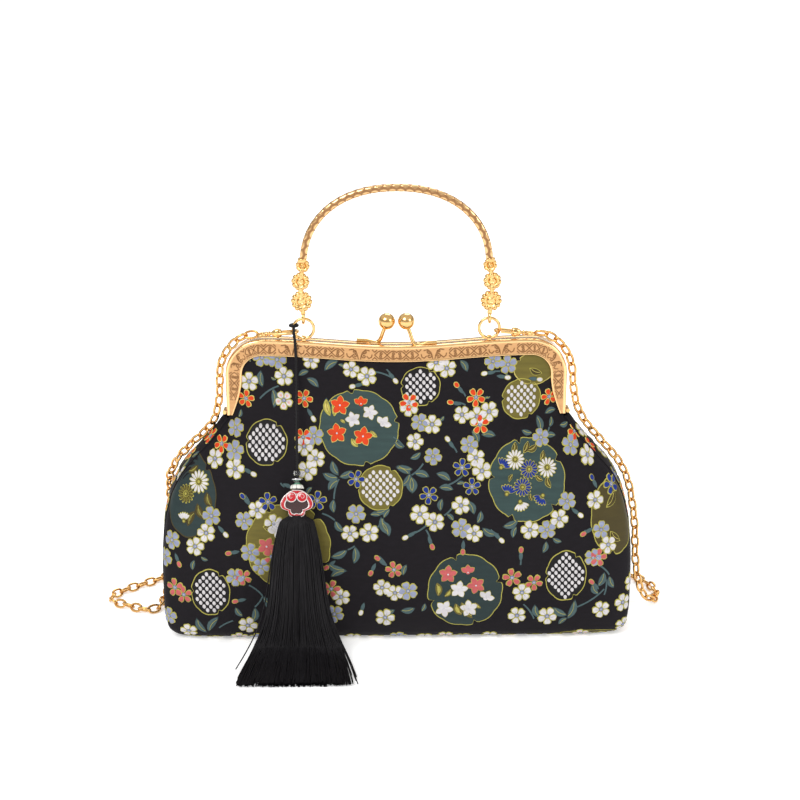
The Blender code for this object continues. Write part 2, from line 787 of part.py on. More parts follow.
def handle_end(name, side, axis, finish, collection, hidden):
    """A cast end: three rosettes on a stalk over the eye that holds the ring."""
    x = side * RING_SPACING / 2
    slim = EYE_WIDTH / EYE_HEIGHT
    eye = ball(name, EYE_HEIGHT, (x, 0.0, 0.0), (slim, slim, 1.0), finish, collection, 10, 6)
    top = ROSETTES[-1][0] + ROSETTES[-1][2] / 2
    low = EYE_HEIGHT * 0.36
    stalk = cylinder(name + "_stalk", STALK / 2, top - low - GAP, (x, 0.0, (top + low) / 2),
                     (0, 0, 1), 6, hidden)
    boolean(eye, stalk, "UNION", hidden)
    for number, (height, shift, diameter) in enumerate(ROSETTES):
        disc = plate(name + "_rosette_" + str(number + 1), rosette_outline(diameter),
                     ROSETTE_DEPTH, 0.0, None, hidden)
        upright = Matrix.Rotation(math.pi / 2, 4, "X")
        move_mesh(disc, Matrix.Translation((x + side * shift, 0.0, height)) @ upright)
        disc.location = axis
        boolean(eye, disc, "UNION", hidden)
    bore = cylinder(name + "_bore", EYE_BORE / 2, 2 * EYE_WIDTH, (x, 0.0, 0.0), (1, 0, 0), 8,
                    hidden)
    boolean(eye, bore, "DIFFERENCE", hidden)
    for thing in (eye, stalk, bore):
        thing.location = axis
    return eye


def kiss_lock(name, side, half, finish, collection, hidden):
    """A ball on a bent wire whose foot lies along the frame's top."""
    ball_x = side * LOCK_SPACING / 2
    foot_start = side * LOCK_FOOT_REACH * 0.52
    foot_end = side * LOCK_FOOT_REACH
    foot_y = half * HALF_DEPTH / 2
    rest = LOCK_WIRE / 2 + GAP / 2
    top = FRAME_TOP - TOP_DIP + LOCK_RISE
    foot_z = FRAME_TOP - dip(foot_start) + rest
    end_z = FRAME_TOP - dip(foot_end) + rest
    route = []
    for out, ahead, down in LOCK_STEM:
        route.append((ball_x + side * LOCK_BALL * out, foot_y * ahead,
                      top - LOCK_BALL * down))
    route.append(((ball_x + foot_start) / 2, foot_y * 0.8, foot_z + LOCK_WIRE * 0.7))
    route.append((foot_start, foot_y, foot_z + GAP / 2))
    route.append(((foot_start + foot_end) / 2, foot_y, (foot_z + end_z) / 2 + GAP / 2))
    route.append((foot_end, foot_y, end_z))
    stem = wire(name + "_stem", spline_points(route, 10), LOCK_WIRE, None, hidden, 1)
    head = ball(name, LOCK_BALL, (ball_x, 0.0, top), (1, 1, 1), finish, collection, 14)
    boolean(head, as_mesh(stem), "UNION", hidden)
    out, ahead, down = LOCK_STEM[1]
    collar = Vector((ball_x + side * LOCK_BALL * out, foot_y * ahead, top - LOCK_BALL * down))
    neck = ball(name + "_neck", LOCK_BALL / 2, collar, (0.85, 0.85, 1.0), None, hidden, 8, 6)
    boolean(head, neck, "UNION", hidden)
    if side < 0:
        reach = (LOCK_BALL + LOCK_NUB / 5) / 2
        nub = ball(name + "_nub", LOCK_NUB, (ball_x - side * reach, GAP * half, top),
                   (0.8, 1, 1), None, hidden, 8, 6)
        boolean(head, nub, "UNION", hidden)
    return head


def clasp_matrix(side):
    """From a clasp's own axes to the world: along the clasp, across it, and up."""
    centre = ring_centre(side)
    ring_radius = (RING_DIAMETER - RING_WIRE) / 2
    drop = ring_radius * 0.30
    grip = Vector((centre.x + side * math.sqrt(ring_radius ** 2 - drop ** 2), centre.y,
                   centre.z - drop))
    along = Vector((-side * math.cos(CLASP_TILT), 0.0, math.sin(CLASP_TILT)))
    across = Vector((0.0, -side, 0.0))
    up = along.cross(across)
    turn = Matrix((along, across, up)).transposed().to_4x4()
    reach = CLASP_LENGTH - CLASP_WIRE / 2 - RING_WIRE / 2 - GAP
    return Matrix.Translation(grip - along * reach) @ turn


def clasp_hook(name, side, finish, collection, hidden):
    """The hook, its base and its swivel neck in one piece."""
    matrix = clasp_matrix(side)
    route = [(x * CLASP_LENGTH, y * CLASP_HALF, 0.0) for x, y in HOOK_ROUTE]
    hook = as_mesh(wire(name + "_wire", spline_points(route, 12), CLASP_WIRE, None, hidden, 1))
    outline = [(x * CLASP_LENGTH, y * CLASP_BASE_WIDTH / 2) for x, y in BASE_OUTLINE]
    base = plate(name, outline, CLASP_BASE_THICKNESS, 0.0, finish, collection)
    neck = cylinder(name + "_neck", SWIVEL_NECK / 2, SWIVEL_END - SWIVEL_START,
                    (-(SWIVEL_START + SWIVEL_END) / 2, 0.0, 0.0), (1, 0, 0), 8, hidden)
    collar = cylinder(name + "_collar", SWIVEL_COLLAR / 2, SHEET, (-COLLAR_PLACE, 0.0, 0.0),
                      (1, 0, 0), 8, hidden)
    fork = lever_slot(name + "_fork", hidden)
    for thing in (base, hook, neck, collar, fork):
        move_mesh(thing, matrix)
    for thing in (hook, neck, collar):
        boolean(base, thing, "UNION", hidden)
    boolean(base, fork, "DIFFERENCE", hidden)
    pin = cylinder(name + "_pin", LEVER_PIN / 2, CLASP_BASE_THICKNESS - GAP,
                   (0.0, 0.0, 0.0), (0, 0, 1), 8, hidden)
    move_mesh(pin, matrix @ Matrix.Translation(lever_pivot()))
    boolean(base, pin, "UNION", hidden)
    return base


def lever_pivot():
    """The lever's pin, in the clasp's own axes."""
    return Vector((LEVER_PLACE, 0.62 * CLASP_BASE_WIDTH / 2, 0.0))


def lever_slot(name, hidden):
    """The slot in a clasp's base where its lever sits."""
    size = (LEVER_SLOT, LEVER_SLOT_DEPTH, LEVER_THICKNESS + 2 * GAP)
    shape = bmesh.new()
    bmesh.ops.create_cube(shape, size=1.0)
    bmesh.ops.scale(shape, vec=size, verts=shape.verts)
    middle = lever_pivot() + Vector((SHEET, LEVER_SLOT_DEPTH / 2 - LEVER_BORE, 0.0))
    bmesh.ops.translate(shape, vec=middle, verts=shape.verts)
    return from_bmesh(name, shape, None, hidden)


def clasp_lever(name, side, finish, collection, hidden):
    """The sprung lever that closes the hook, with its thumb knob."""
    matrix = clasp_matrix(side)
    pivot = lever_pivot()
    outline = [(x * CLASP_LENGTH, y * CLASP_LENGTH) for x, y in LEVER_OUTLINE]
    lever = plate(name, outline, LEVER_THICKNESS, 0.0, finish, collection)
    bore = cylinder(name + "_bore", LEVER_BORE / 2, 3 * LEVER_THICKNESS, (0, 0, 0), (0, 0, 1),
                    8, hidden)
    turn = matrix.to_3x3().to_4x4()
    for thing in (lever, bore):
        move_mesh(thing, turn)
        thing.location = matrix @ pivot
    boolean(lever, bore, "DIFFERENCE", hidden)
    return lever


def clasp_eyelet(name, side, finish, collection, hidden):
    """The swivel eye between the clasp and the chain."""
    matrix = clasp_matrix(side)
    count = 12
    points = []
    centre = Vector((-CUP_PLACE - EYELET_WIRE / 2 - EYELET_RADIUS, 0.0, 0.0))
    for k in range(count):
        angle = 2 * math.pi * k / count
        points.append(centre + Vector((math.cos(angle), math.sin(angle), 0.0)) * EYELET_RADIUS)
    eyelet = as_mesh(wire(name, points, EYELET_WIRE, finish, collection, 1, closed=True))
    cup = cylinder(name + "_cup", SWIVEL_CUP / 2, SHEET, (-CUP_PLACE - SHEET / 2, 0.0, 0.0),
                   (1, 0, 0), 8, hidden)
    bore = cylinder(name + "_bore", SWIVEL_NECK / 2 + GAP, 2 * SHEET + GAP,
                    (-CUP_PLACE, 0.0, 0.0), (1, 0, 0), 8, hidden)
    for thing in (eyelet, cup, bore):
        move_mesh(thing, matrix)
    boolean(eyelet, cup, "UNION", hidden)
    boolean(eyelet, bore, "DIFFERENCE", hidden)
    return eyelet


def leg_hinge(name, side, finish, collection):
    """The rivet that joins the two frame halves at the end of their legs."""
    shape = bmesh.new()
    x = side * (FRAME_WIDTH / 2 + HINGE_RADIUS + GAP)
    z = LEG_END + HINGE_RADIUS
    turn = Matrix.Rotation(math.pi / 2, 4, "X")
    bmesh.ops.create_cone(shape, cap_ends=True, segments=12, radius1=HINGE_RADIUS,
                          radius2=HINGE_RADIUS, depth=HINGE_LENGTH,
                          matrix=Matrix.Translation((x, 0.0, z)) @ turn)
    rivet = from_bmesh(name, shape, finish, collection)
    smooth(rivet)
    return rivet


def drilled(thing, name, start, end, hidden):
    """Drill the cord's hole through a bead along the tassel's axis."""
    along = end - start
    bore = cylinder(name, CORD_BORE / 2, along.length * 3, (start + end) / 2, along, 8, hidden)
    boolean(thing, bore, "DIFFERENCE", hidden)


def charm_outline():
    """A cloud outline: two wide side lobes and a pair of small ones below."""
    left = tuple((-x, y) for x, y in reversed(CHARM_OUTLINE[1:-1]))
    return [(x * CHARM_WIDTH / 2, y * CHARM_HEIGHT / 2) for x, y in CHARM_OUTLINE + left]


def tassel_axis(distance):
    """A place on the tassel's straight axis, with Z up it and the front along -Y."""
    along = (TASSEL_HEAD - TASSEL_TOP).normalized()
    frame = along.to_track_quat("-Z", "Y").to_matrix().to_4x4()
    return Matrix.Translation(TASSEL_TOP + along * distance) @ frame


def tassel_parts(finishes, collection, hidden):
    """The bead, disc, cap and charm that are strung above the tassel's skirt."""
    reach = BEAD_START
    strung = []
    for name, width, height, finish in (
            ("tassel_bead", BEAD, BEAD, "glass"),
            ("tassel_disc", DISC, DISC_THICKNESS, "silver"),
            ("tassel_cap", CAP, CAP_HEIGHT, "cap")):
        thing = ball(name, width, (0, 0, 0), (1, 1, height / width), finishes[finish],
                     collection, 10, 6)
        move_mesh(thing, tassel_axis(reach + height / 2))
        strung.append(thing)
        reach += height + GAP
    charm = plate("tassel_charm", charm_outline(), CHARM_THICKNESS, CHARM_EDGE,
                  finishes["enamel"], collection)
    upright = Matrix.Rotation(math.pi / 2, 4, "X")
    move_mesh(charm, tassel_axis(reach + CHARM_HEIGHT / 2) @ upright)
    strung.append(charm)
    for thing in strung:
        drilled(thing, thing.name + "_bore", TASSEL_TOP, TASSEL_HEAD, hidden)
        smooth(thing)


def tassel_loop(finish, collection):
    """The cord's loop round the left ring's wire."""
    reach = (RING_DIAMETER - RING_WIRE) / 2
    centre = ring_centre(-1)
    centre += Vector((-math.sqrt(reach ** 2 - LOOP_RISE ** 2), 0.0, LOOP_RISE))
    radius = (RING_WIRE + CORD) / 2 + GAP
    points = []
    count = 12
    for k in range(count):
        angle = 2 * math.pi * k / count
        points.append(centre + Vector((math.cos(angle), math.sin(angle), 0.0)) * radius)
    return wire("tassel_loop", points, CORD, finish, collection, 1, closed=True)


def tassel_skirt(finish, collection):
    """The skirt: one lobed body from its bound head down, and out over the floor."""
    shape = bmesh.new()
    rings = []
    sides = 3 * LOCKS
    last = len(SKIRT_ROUTE) - 1
    for k, (y, z, wide, thick) in enumerate(SKIRT_ROUTE):
        ahead = SKIRT_ROUTE[min(k + 1, last)]
        behind = SKIRT_ROUTE[max(k - 1, 0)]
        along = Vector((0.0, ahead[0] - behind[0], ahead[1] - behind[1])).normalized()
        front = Vector((0.0, along.z, -along.y))
        ring = []
        for step in range(sides):
            angle = 2 * math.pi * step / sides
            lobe = 1 - (LOCK_GROOVE if step % 3 == 0 else 0.0) * k / last
            point = Vector((TASSEL_HEAD.x, y * MM, z * MM))
            point.x += math.cos(angle) * wide * SKIRT_WIDTH / 2 * lobe
            point += front * (math.sin(angle) * thick * SKIRT_DEPTH / 2 * lobe)
            if k == last:
                point -= along * (LOCK_RAGGED * (step % 3 == 0))
            point.z = max(point.z, 0.0)
            ring.append(shape.verts.new(point))
        rings.append(ring)
    for low, high in zip(rings, rings[1:]):
        for step in range(sides):
            after = (step + 1) % sides
            shape.faces.new((low[step], low[after], high[after], high[step]))
    shape.faces.new(rings[0])
    shape.faces.new(rings[-1][::-1])
    bmesh.ops.recalc_face_normals(shape, faces=shape.faces)
    skirt = from_bmesh("tassel_skirt", shape, finish, collection)
    smooth(skirt)
    return skirt


def between(share, marks):
    """A place counted along marks: 1.25 is a quarter of the way from marks[1] to marks[2]."""
    whole = min(int(share), len(marks) - 2)
    return marks[whole] + (marks[whole + 1] - marks[whole]) * (share - whole)


def chain_route():
    """The chain's middle line, hung on its clasps and laid round the bag."""
    far = CUP_PLACE + EYELET_WIRE + 2 * EYELET_RADIUS + GAP
    eye = clasp_matrix(1) @ Vector((-far, 0.0, 0.0))
    route = []
    for side, anchor, out, ahead, up in CHAIN_ROUTE:
        height = between(up, (0.0, LEG_END, FRAME_TOP, 2 * FRAME_TOP))
        anchors = (eye.x, FRAME_WIDTH / 2, seam(min(height / LEG_END, 1.0))[0] + SIDE_BULGE)
        route.append(Vector((side * (anchors[anchor] + out * MM), ahead * BODY_DEPTH / 2,
                             max(height, (CHAIN_TUBE + GAP) / 2))))
    return route


def cord_route():
    """The cord's middle line, from the ring that it hangs on."""
    ring = Vector((-RING_SPACING / 2, 0.0, 0.0))
    return [ring + Vector(point) * MM for point in CORD_ROUTE]


def build():
    """Make every piece of the clutch."""
    for thing in list(bpy.data.objects):
        bpy.data.objects.remove(thing)
    parts = bpy.data.collections.new("evening_clutch")
    hidden = bpy.data.collections.new("cutters")
    bpy.context.scene.collection.children.link(parts)
    bpy.context.scene.collection.children.link(hidden)

    satin = material("frame_gold", (0.70, 0.42, 0.20), 0.38, 1.0)
    gold = material("polished_gold", (0.83, 0.52, 0.17), 0.18, 1.0)
    brocade = material("brocade", (0.016, 0.013, 0.016), 0.80, 0.0)
    cord_black = material("tassel_black", (0.01, 0.01, 0.012), 0.55, 0.0)
    finishes = {
        "glass": material("clear_glass", (0.80, 0.82, 0.82), 0.05, 0.0),
        "silver": material("silver_metal", (0.80, 0.80, 0.80), 0.20, 1.0),
        "cap": material("cap_enamel", (0.12, 0.35, 0.26), 0.25, 0.0),
        "enamel": material("charm_enamel", (0.40, 0.02, 0.02), 0.15, 0.0),
    }

    body_panel("bag_front", -1, brocade, parts)
    body_panel("bag_back", 1, brocade, parts)
    gusset(brocade, parts)
    for name, side in (("frame_front", -1), ("frame_back", 1)):
        smooth(frame_half(name, side, satin, parts, hidden))
    for word, side in (("left", -1), ("right", 1)):
        leg_hinge("leg_hinge_" + word, side, satin, parts)
        carry_ring("ring_" + word, side, gold, parts)
        ring_strap("ring_strap_" + word, side, gold, parts)
    smooth(kiss_lock("kiss_lock_left", -1, 1, gold, parts, hidden))
    smooth(kiss_lock("kiss_lock_right", 1, -1, gold, parts, hidden))

    axis = Vector((0.0, ring_plane(), hinge_height()))
    handle_arch(axis, gold, parts)
    for word, side in (("left", -1), ("right", 1)):
        smooth(handle_end("handle_end_" + word, side, axis, gold, parts, hidden))
        smooth(clasp_hook("clasp_hook_" + word, side, gold, parts, hidden))
        smooth(clasp_lever("clasp_lever_" + word, side, gold, parts, hidden))
        smooth(clasp_eyelet("clasp_eyelet_" + word, side, gold, parts, hidden))

    chain = spline_points(chain_route(), CHAIN_SEGMENTS)
    wire("chain_strap", chain, CHAIN_TUBE, gold, parts, sides=1)
    cord = spline_points(cord_route(), CORD_SEGMENTS)
    wire("tassel_cord", cord, CORD, cord_black, parts, sides=1)
    tassel_loop(cord_black, parts)
    tassel_parts(finishes, parts, hidden)
    tassel_skirt(cord_black, parts)


build()
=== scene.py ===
# %% [markdown]
# # A brocade evening bag on a kiss-lock frame
# The bag is a soft cloth body hung in a two-part metal frame, with a rigid arch
# handle, a clip-on chain and a tassel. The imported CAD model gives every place
# and size, so this script opens it first and then dresses it piece by piece.

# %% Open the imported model
import bisect
import math
import random

import bmesh
import bpy
from mathutils import Matrix, Vector


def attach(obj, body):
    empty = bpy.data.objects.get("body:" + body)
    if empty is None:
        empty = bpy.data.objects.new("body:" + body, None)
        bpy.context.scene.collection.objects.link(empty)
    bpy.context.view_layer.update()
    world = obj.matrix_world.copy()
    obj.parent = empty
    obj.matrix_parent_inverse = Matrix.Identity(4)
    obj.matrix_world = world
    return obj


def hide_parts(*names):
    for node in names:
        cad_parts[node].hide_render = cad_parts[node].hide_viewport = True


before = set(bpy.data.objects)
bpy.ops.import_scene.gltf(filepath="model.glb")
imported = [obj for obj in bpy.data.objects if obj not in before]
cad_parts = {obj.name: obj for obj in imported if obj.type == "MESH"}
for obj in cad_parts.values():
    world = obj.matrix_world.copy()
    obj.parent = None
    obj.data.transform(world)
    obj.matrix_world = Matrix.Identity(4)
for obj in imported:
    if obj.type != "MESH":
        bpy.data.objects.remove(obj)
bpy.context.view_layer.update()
MM = 0.001

# %% [markdown]
# ## Camera
# The picture is taken from a little above, with the lens almost straight in
# front of the bag. A longer lens from 0.7 m keeps the frame's edges nearly
# parallel, as they are in the photograph.

# %% Camera
camera = bpy.data.objects.new("camera", bpy.data.cameras.new("camera"))
camera.data.sensor_width = 36.0
camera.data.lens = 61.97
camera.location = Vector((-11.1, -700.0, 342.0)) * MM
camera.rotation_euler = (math.radians(90.0 - 17.45), 0.0, math.radians(-1.06))
bpy.context.collection.objects.link(camera)
bpy.context.scene.camera = camera
print("lens in mm:", camera.data.lens)

# %% [markdown]
# ## Finishes
# A finish is a shader built from nodes. Long node trees are hard to read, so a
# socket is wrapped in a small class whose +, - and * add the Math nodes, and
# every other node comes from one method that names its type, its settings and
# what goes into its sockets.

# %% A socket that does sums
class Signal:
    """A shader socket that can be added, taken away and multiplied."""

    def __init__(self, finish, socket):
        self.finish = finish
        self.socket = socket

    def sum_with(self, operation, first, second):
        return self.finish.node("ShaderNodeMath", {"operation": operation}, {0: first, 1: second})

    def __add__(self, other):
        return self.sum_with("ADD", self, other)

    def __radd__(self, other):
        return self.sum_with("ADD", other, self)

    def __sub__(self, other):
        return self.sum_with("SUBTRACT", self, other)

    def __mul__(self, other):
        return self.sum_with("MULTIPLY", self, other)


# %% A finish and its one way to add a node
class Finish:
    """A material whose Principled shader is fed by nodes."""

    def __init__(self, name, **sockets):
        self.material = bpy.data.materials.new(name)
        self.material.use_nodes = True
        self.tree = self.material.node_tree
        self.shader = self.tree.nodes["Principled BSDF"]
        self.feed(self.shader, {key.replace("_", " "): value for key, value in sockets.items()})

    def feed(self, node, sockets):
        for key, value in sockets.items():
            if isinstance(value, Signal):
                self.tree.links.new(value.socket, node.inputs[key])
            elif isinstance(value, tuple) and len(value) == 3 and node.inputs[key].type == "RGBA":
                node.inputs[key].default_value = (*value, 1.0)
            else:
                node.inputs[key].default_value = value

    def node(self, kind, settings=None, sockets=None, out=0):
        made = self.tree.nodes.new(kind)
        for key, value in (settings or {}).items():
            setattr(made, key, value)
        self.feed(made, sockets or {})
        return Signal(self, made.outputs[out])

    def place(self):
        return self.node("ShaderNodeTexCoord", out="Object")

    def cloth_map(self):
        return self.node("ShaderNodeUVMap", {"uv_map": "weave"})

    def painted(self, name, out="Color"):
        return self.node("ShaderNodeAttribute", {"attribute_name": name}, out=out)

    def noise(self, at, scale, detail=2.0, stretch=(1.0, 1.0, 1.0)):
        moved = self.node("ShaderNodeMapping", None, {"Vector": at, "Scale": stretch})
        return self.node("ShaderNodeTexNoise", None, {"Vector": moved, "Scale": scale, "Detail": detail})

    def waves(self, at, scale, direction="X", distortion=0.0):
        settings = {"wave_type": "BANDS", "bands_direction": direction, "wave_profile": "SIN"}
        return self.node("ShaderNodeTexWave", settings,
                         {"Vector": at, "Scale": scale, "Distortion": distortion}, out="Fac")

    def blend(self, share, first, second, kind="MIX"):
        settings = {"data_type": "RGBA", "blend_type": kind}
        return self.node("ShaderNodeMix", settings, {0: share, 6: first, 7: second}, out=2)

    def bump(self, height, strength, depth):
        self.feed(self.shader, {"Normal": self.node(
            "ShaderNodeBump", None, {"Height": height, "Strength": strength, "Distance": depth})})


def dye(red, green, blue):
    """A colour as a screen shows it, 0 to 255, turned into the shader's linear shares."""
    shares = [value / 255.0 for value in (red, green, blue)]
    return tuple(s / 12.92 if s <= 0.04045 else ((s + 0.055) / 1.055) ** 2.4 for s in shares)


# %% [markdown]
# ## The metal finishes
# The handle, the kiss lock, the clasps and the chain are plated and polished.
# The frame is satin: it was brushed along its length, then engraved, and the
# cuts were left dark. Its rolled rim and lip are polished, and their lighter
# colour is a painted highlight. Both keep the faint cloudiness that plating has.

# %% Polished and satin gold
def plated(name, bright, deep, rough, cloud):
    """Plated metal: two close colours and a roughness that drifts from place to place."""
    finish = Finish(name, Metallic=1.0)
    drift = finish.noise(finish.place(), cloud)
    finish.feed(finish.shader, {"Base Color": finish.blend(drift, deep, bright),
                                "Roughness": drift * 0.10 + rough})
    finish.bump(finish.noise(finish.place(), 900.0, 3.0), 0.04, 0.0002)
    return finish


polished_gold = plated("polished_gold", dye(238, 202, 140), dye(208, 162, 98), 0.10, 60.0)
chain_gold = plated("chain_gold", dye(234, 190, 122), dye(198, 146, 82), 0.16, 160.0)
silver = plated("silver", dye(226, 226, 230), dye(178, 178, 184), 0.14, 120.0)

satin_gold = Finish("satin_gold", Metallic=1.0)
grain = satin_gold.noise(satin_gold.place(), 700.0, 3.0, (0.15, 1.0, 1.0))
cuts = satin_gold.painted("cut", "Fac")
polish_and_highlight = satin_gold.painted("polish_and_highlight", "Fac")
plain = satin_gold.blend(grain, dye(190, 144, 98), dye(214, 168, 120))
# Where the metal is polished it is less rough, and it is also painted a lighter colour: a painted highlight.
plain_with_highlight = satin_gold.blend(polish_and_highlight, plain, dye(240, 198, 142))
satin_gold.feed(satin_gold.shader, {
    "Base Color": satin_gold.blend(cuts, plain_with_highlight, dye(92, 56, 32)),
    "Roughness": 0.42 + cuts * 0.2 - polish_and_highlight * 0.28,
})
satin_gold.bump(grain, 0.12, 0.0002)
print("metal finishes:", [one.material.name for one in (polished_gold, chain_gold, silver, satin_gold)])

# %% [markdown]
# ## The cloth finishes
# Brocade has a black satin ground and a pattern of coloured threads that float
# over it from side to side. Both are drawn on the cloth's own map, which is
# measured in metres, so the ribs stay the same size round every curve.

# %% Ground and pattern threads
ground = Finish("brocade_ground", Specular_IOR_Level=0.10)
ground_map = ground.cloth_map()
rib = ground.waves(ground_map, 900.0, "DIAGONAL")
fleck = ground.noise(ground_map, 500.0, 2.0, (0.4, 1.0, 1.0))
shade = ground.blend(fleck, dye(13, 11, 13), dye(27, 24, 28))
ground.feed(ground.shader, {"Base Color": ground.blend(rib * 0.35, shade, dye(34, 30, 35)),
                            "Roughness": 0.62 + fleck * 0.14})
ground.bump(rib + fleck * 0.4, 0.35, 0.00012)

threads = Finish("brocade_threads", Specular_IOR_Level=0.22)
thread_map = threads.cloth_map()
float_rib = threads.waves(thread_map, 620.0, "Y", 0.6)
streak = threads.noise(thread_map, 420.0, 2.0, (0.18, 1.0, 1.0))
worn = threads.blend(streak, dye(196, 196, 200), dye(255, 255, 255))
threads.feed(threads.shader, {
    "Base Color": threads.blend(1.0, threads.painted("thread"), worn, "MULTIPLY"),
    "Roughness": 0.50 + streak * 0.14,
})
threads.bump(float_rib * 0.8 + streak * 0.3, 0.45, 0.00014)
print("cloth finishes:", ground.material.name, threads.material.name)

# %% [markdown]
# ## Tools for every piece
# All shapes below are drawn in millimetres, as a maker would measure them. One
# function turns a finished drawing into an object in metres and says which
# body it moves with. Another bends round wire, which most of the metalwork is.

# %% Finish a drawing, join two drawings
def make_piece(name, drawing, finishes, body="bag", crisp=None):
    """Turns a bmesh in millimetres into an object in metres that rides on a body."""
    bmesh.ops.scale(drawing, vec=(MM, MM, MM), verts=drawing.verts)
    mesh = bpy.data.meshes.new(name)
    drawing.to_mesh(mesh)
    drawing.free()
    for finish in finishes if isinstance(finishes, (list, tuple)) else [finishes]:
        mesh.materials.append(finish.material)
    mesh.shade_smooth()
    if crisp:
        mesh.set_sharp_from_angle(angle=math.radians(crisp))
    thing = bpy.data.objects.new(name, mesh)
    bpy.context.collection.objects.link(thing)
    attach(thing, body)
    print(name, "has", sum(len(face.vertices) - 2 for face in mesh.polygons), "triangles")
    return thing


def as_part(drawing):
    """Keeps a drawing as a mesh that can be copied into others many times."""
    part = bpy.data.meshes.new("part")
    drawing.to_mesh(part)
    drawing.free()
    return part


def copy_in(drawing, part, place=None):
    """Copies a part into a drawing and gives back its new vertices and faces."""
    first_vertex, first_face = len(drawing.verts), len(drawing.faces)
    drawing.from_mesh(part)
    drawing.verts.ensure_lookup_table()
    drawing.faces.ensure_lookup_table()
    vertices, faces = drawing.verts[first_vertex:], drawing.faces[first_face:]
    if place is not None:
        bmesh.ops.transform(drawing, matrix=place, verts=vertices)
    return vertices, faces


def drawn(part, place=None):
    """A new drawing that starts with one part."""
    drawing = bmesh.new()
    copy_in(drawing, part, place)
    return drawing


def paint(faces, layer, colour):
    """Gives every corner of some faces one colour."""
    for face in faces:
        for loop in face.loops:
            loop[layer] = (*colour, 1.0)


# %% Smooth routes and bent wire
def eased(before, start, end, after, t):
    """The place a share t of the way from start to end, on a smooth curve through all four."""
    return 0.5 * (2 * start + (end - before) * t
                  + (2 * before - 5 * start + 4 * end - after) * t ** 2
                  + (3 * start - before - 3 * end + after) * t ** 3)


def smooth_route(points, steps=6):
    """Points on a smooth curve that passes through the given ones."""
    knots = [Vector(point) for point in points]
    knots = [2 * knots[0] - knots[1], *knots, 2 * knots[-1] - knots[-2]]
    route = [eased(*four, step / steps) for four in zip(knots, knots[1:], knots[2:], knots[3:])
             for step in range(steps)]
    return route + [knots[-2]]


def run_along(points):
    """How far along a line of points each of them lies."""
    run = [0.0]
    for a, b in zip(points, points[1:]):
        run.append(run[-1] + (b - a).length)
    return run


def step_at(run, distance):
    """The step of a run in which a distance falls, and the share of that step it covers."""
    k = min(max(bisect.bisect_left(run, distance), 1), len(run) - 1)
    return k, (distance - run[k - 1]) / (run[k] - run[k - 1])


def bent_wire(points, thickness, swell=None, closed=False, fineness=3):
    """Round wire along points, as a part. swell gives each point's share of the thickness."""
    curve = bpy.data.curves.new("wire", "CURVE")
    curve.dimensions = "3D"
    curve.bevel_depth = thickness / 2
    curve.bevel_resolution = fineness
    curve.use_fill_caps = not closed
    spline = curve.splines.new("POLY")
    spline.points.add(len(points) - 1)
    for place, (knot, point) in enumerate(zip(spline.points, points)):
        knot.co = (*point, 1.0)
        knot.radius = swell[place] if swell else 1.0
    spline.use_cyclic_u = closed
    holder = bpy.data.objects.new("wire", curve)
    part = bpy.data.meshes.new_from_object(holder)
    bpy.data.objects.remove(holder)
    bpy.data.curves.remove(curve)
    return part


def turned(profile, steps=32, ripple=None):
    """A part turned on a lathe about Z from (radius, height) points; ripple moves its skin."""
    drawing = bmesh.new()
    line = [drawing.verts.new((radius, 0.0, height)) for radius, height in profile]
    edges = [drawing.edges.new(pair) for pair in zip(line, line[1:])]
    bmesh.ops.spin(drawing, geom=line + edges, axis=(0, 0, 1), cent=(0, 0, 0),
                   angle=math.tau, steps=steps, use_merge=True)
    bmesh.ops.remove_doubles(drawing, verts=drawing.verts, dist=0.0005)
    if ripple:
        for vertex in drawing.verts:
            vertex.co = ripple(vertex.co)
    bmesh.ops.recalc_face_normals(drawing, faces=drawing.faces)
    return as_part(drawing)


def facing(direction, at, spin=0.0):
    """The place of a part whose Z should point along direction from the point at."""
    turn = Vector(direction).to_track_quat("Z", "Y").to_matrix().to_4x4()
    return Matrix.Translation(at) @ turn @ Matrix.Rotation(spin, 4, "Z")


# %% [markdown]
# ## The tassel's cord
# A thin twisted cord is tied through the left carry ring and hangs down the
# front of the bag to the tassel. Its whole length shows in the photograph, so
# its route is known from end to end. Three plies are twisted together, which a
# tube with a three-lobed section shows when it turns as it goes along.

# %% Cord route
CORD_THICK = 1.6
CORD_ROUTE = (
    (-53.5, -5.4, 163.1), (-53.4, -6.5, 162), (-53.3, -7.2, 160), (-52.9, -7.6, 156.5),
    (-52.7, -7.8, 152), (-52.5, -8.2, 146.5), (-52.4, -10.2, 140), (-52.3, -13.2, 133),
    (-52.2, -16.9, 126), (-52.2, -20.8, 118.5), (-52.1, -24.4, 111.5), (-52, -28.2, 104.5),
    (-51.8, -31.8, 98.2), (-51.8, -35.36, 91.04), (-51.8, -38.93, 83.87), (-51.8, -42.05, 77.6),
    (-51.8, -44.25, 73.2),
)
cord_line = [Vector(point) for point in CORD_ROUTE]
CORD_LENGTH = run_along(cord_line)[-1]
print("cord is", round(CORD_LENGTH, 2), "mm long")


def plied(points, thickness, pitch, steps=18, lay=3):
    """A twisted cord along points: a lobed ring is pushed along and turned as it goes."""
    cord = bmesh.new()
    bmesh.ops.create_grid(cord, x_segments=len(points) - 1, y_segments=steps, size=1.0)
    run = run_along(points)
    for vertex in cord.verts:
        k = round((vertex.co.x + 1) / 2 * (len(points) - 1))
        turn = (vertex.co.y + 1) / 2 * math.tau
        along = (points[min(k + 1, len(points) - 1)] - points[max(k - 1, 0)]).normalized()
        side = along.cross(Vector((1.0, 0.0, 0.12))).normalized()
        other = along.cross(side)
        lobe = 0.80 + 0.20 * abs(math.cos(lay / 2 * (turn + math.tau * run[k] / pitch)))
        vertex.co = points[k] + (side * math.cos(turn) + other * math.sin(turn)) * thickness / 2 * lobe
    bmesh.ops.remove_doubles(cord, verts=cord.verts, dist=0.001)
    bmesh.ops.holes_fill(cord, edges=cord.edges, sides=0)
    bmesh.ops.recalc_face_normals(cord, faces=cord.faces)
    return cord


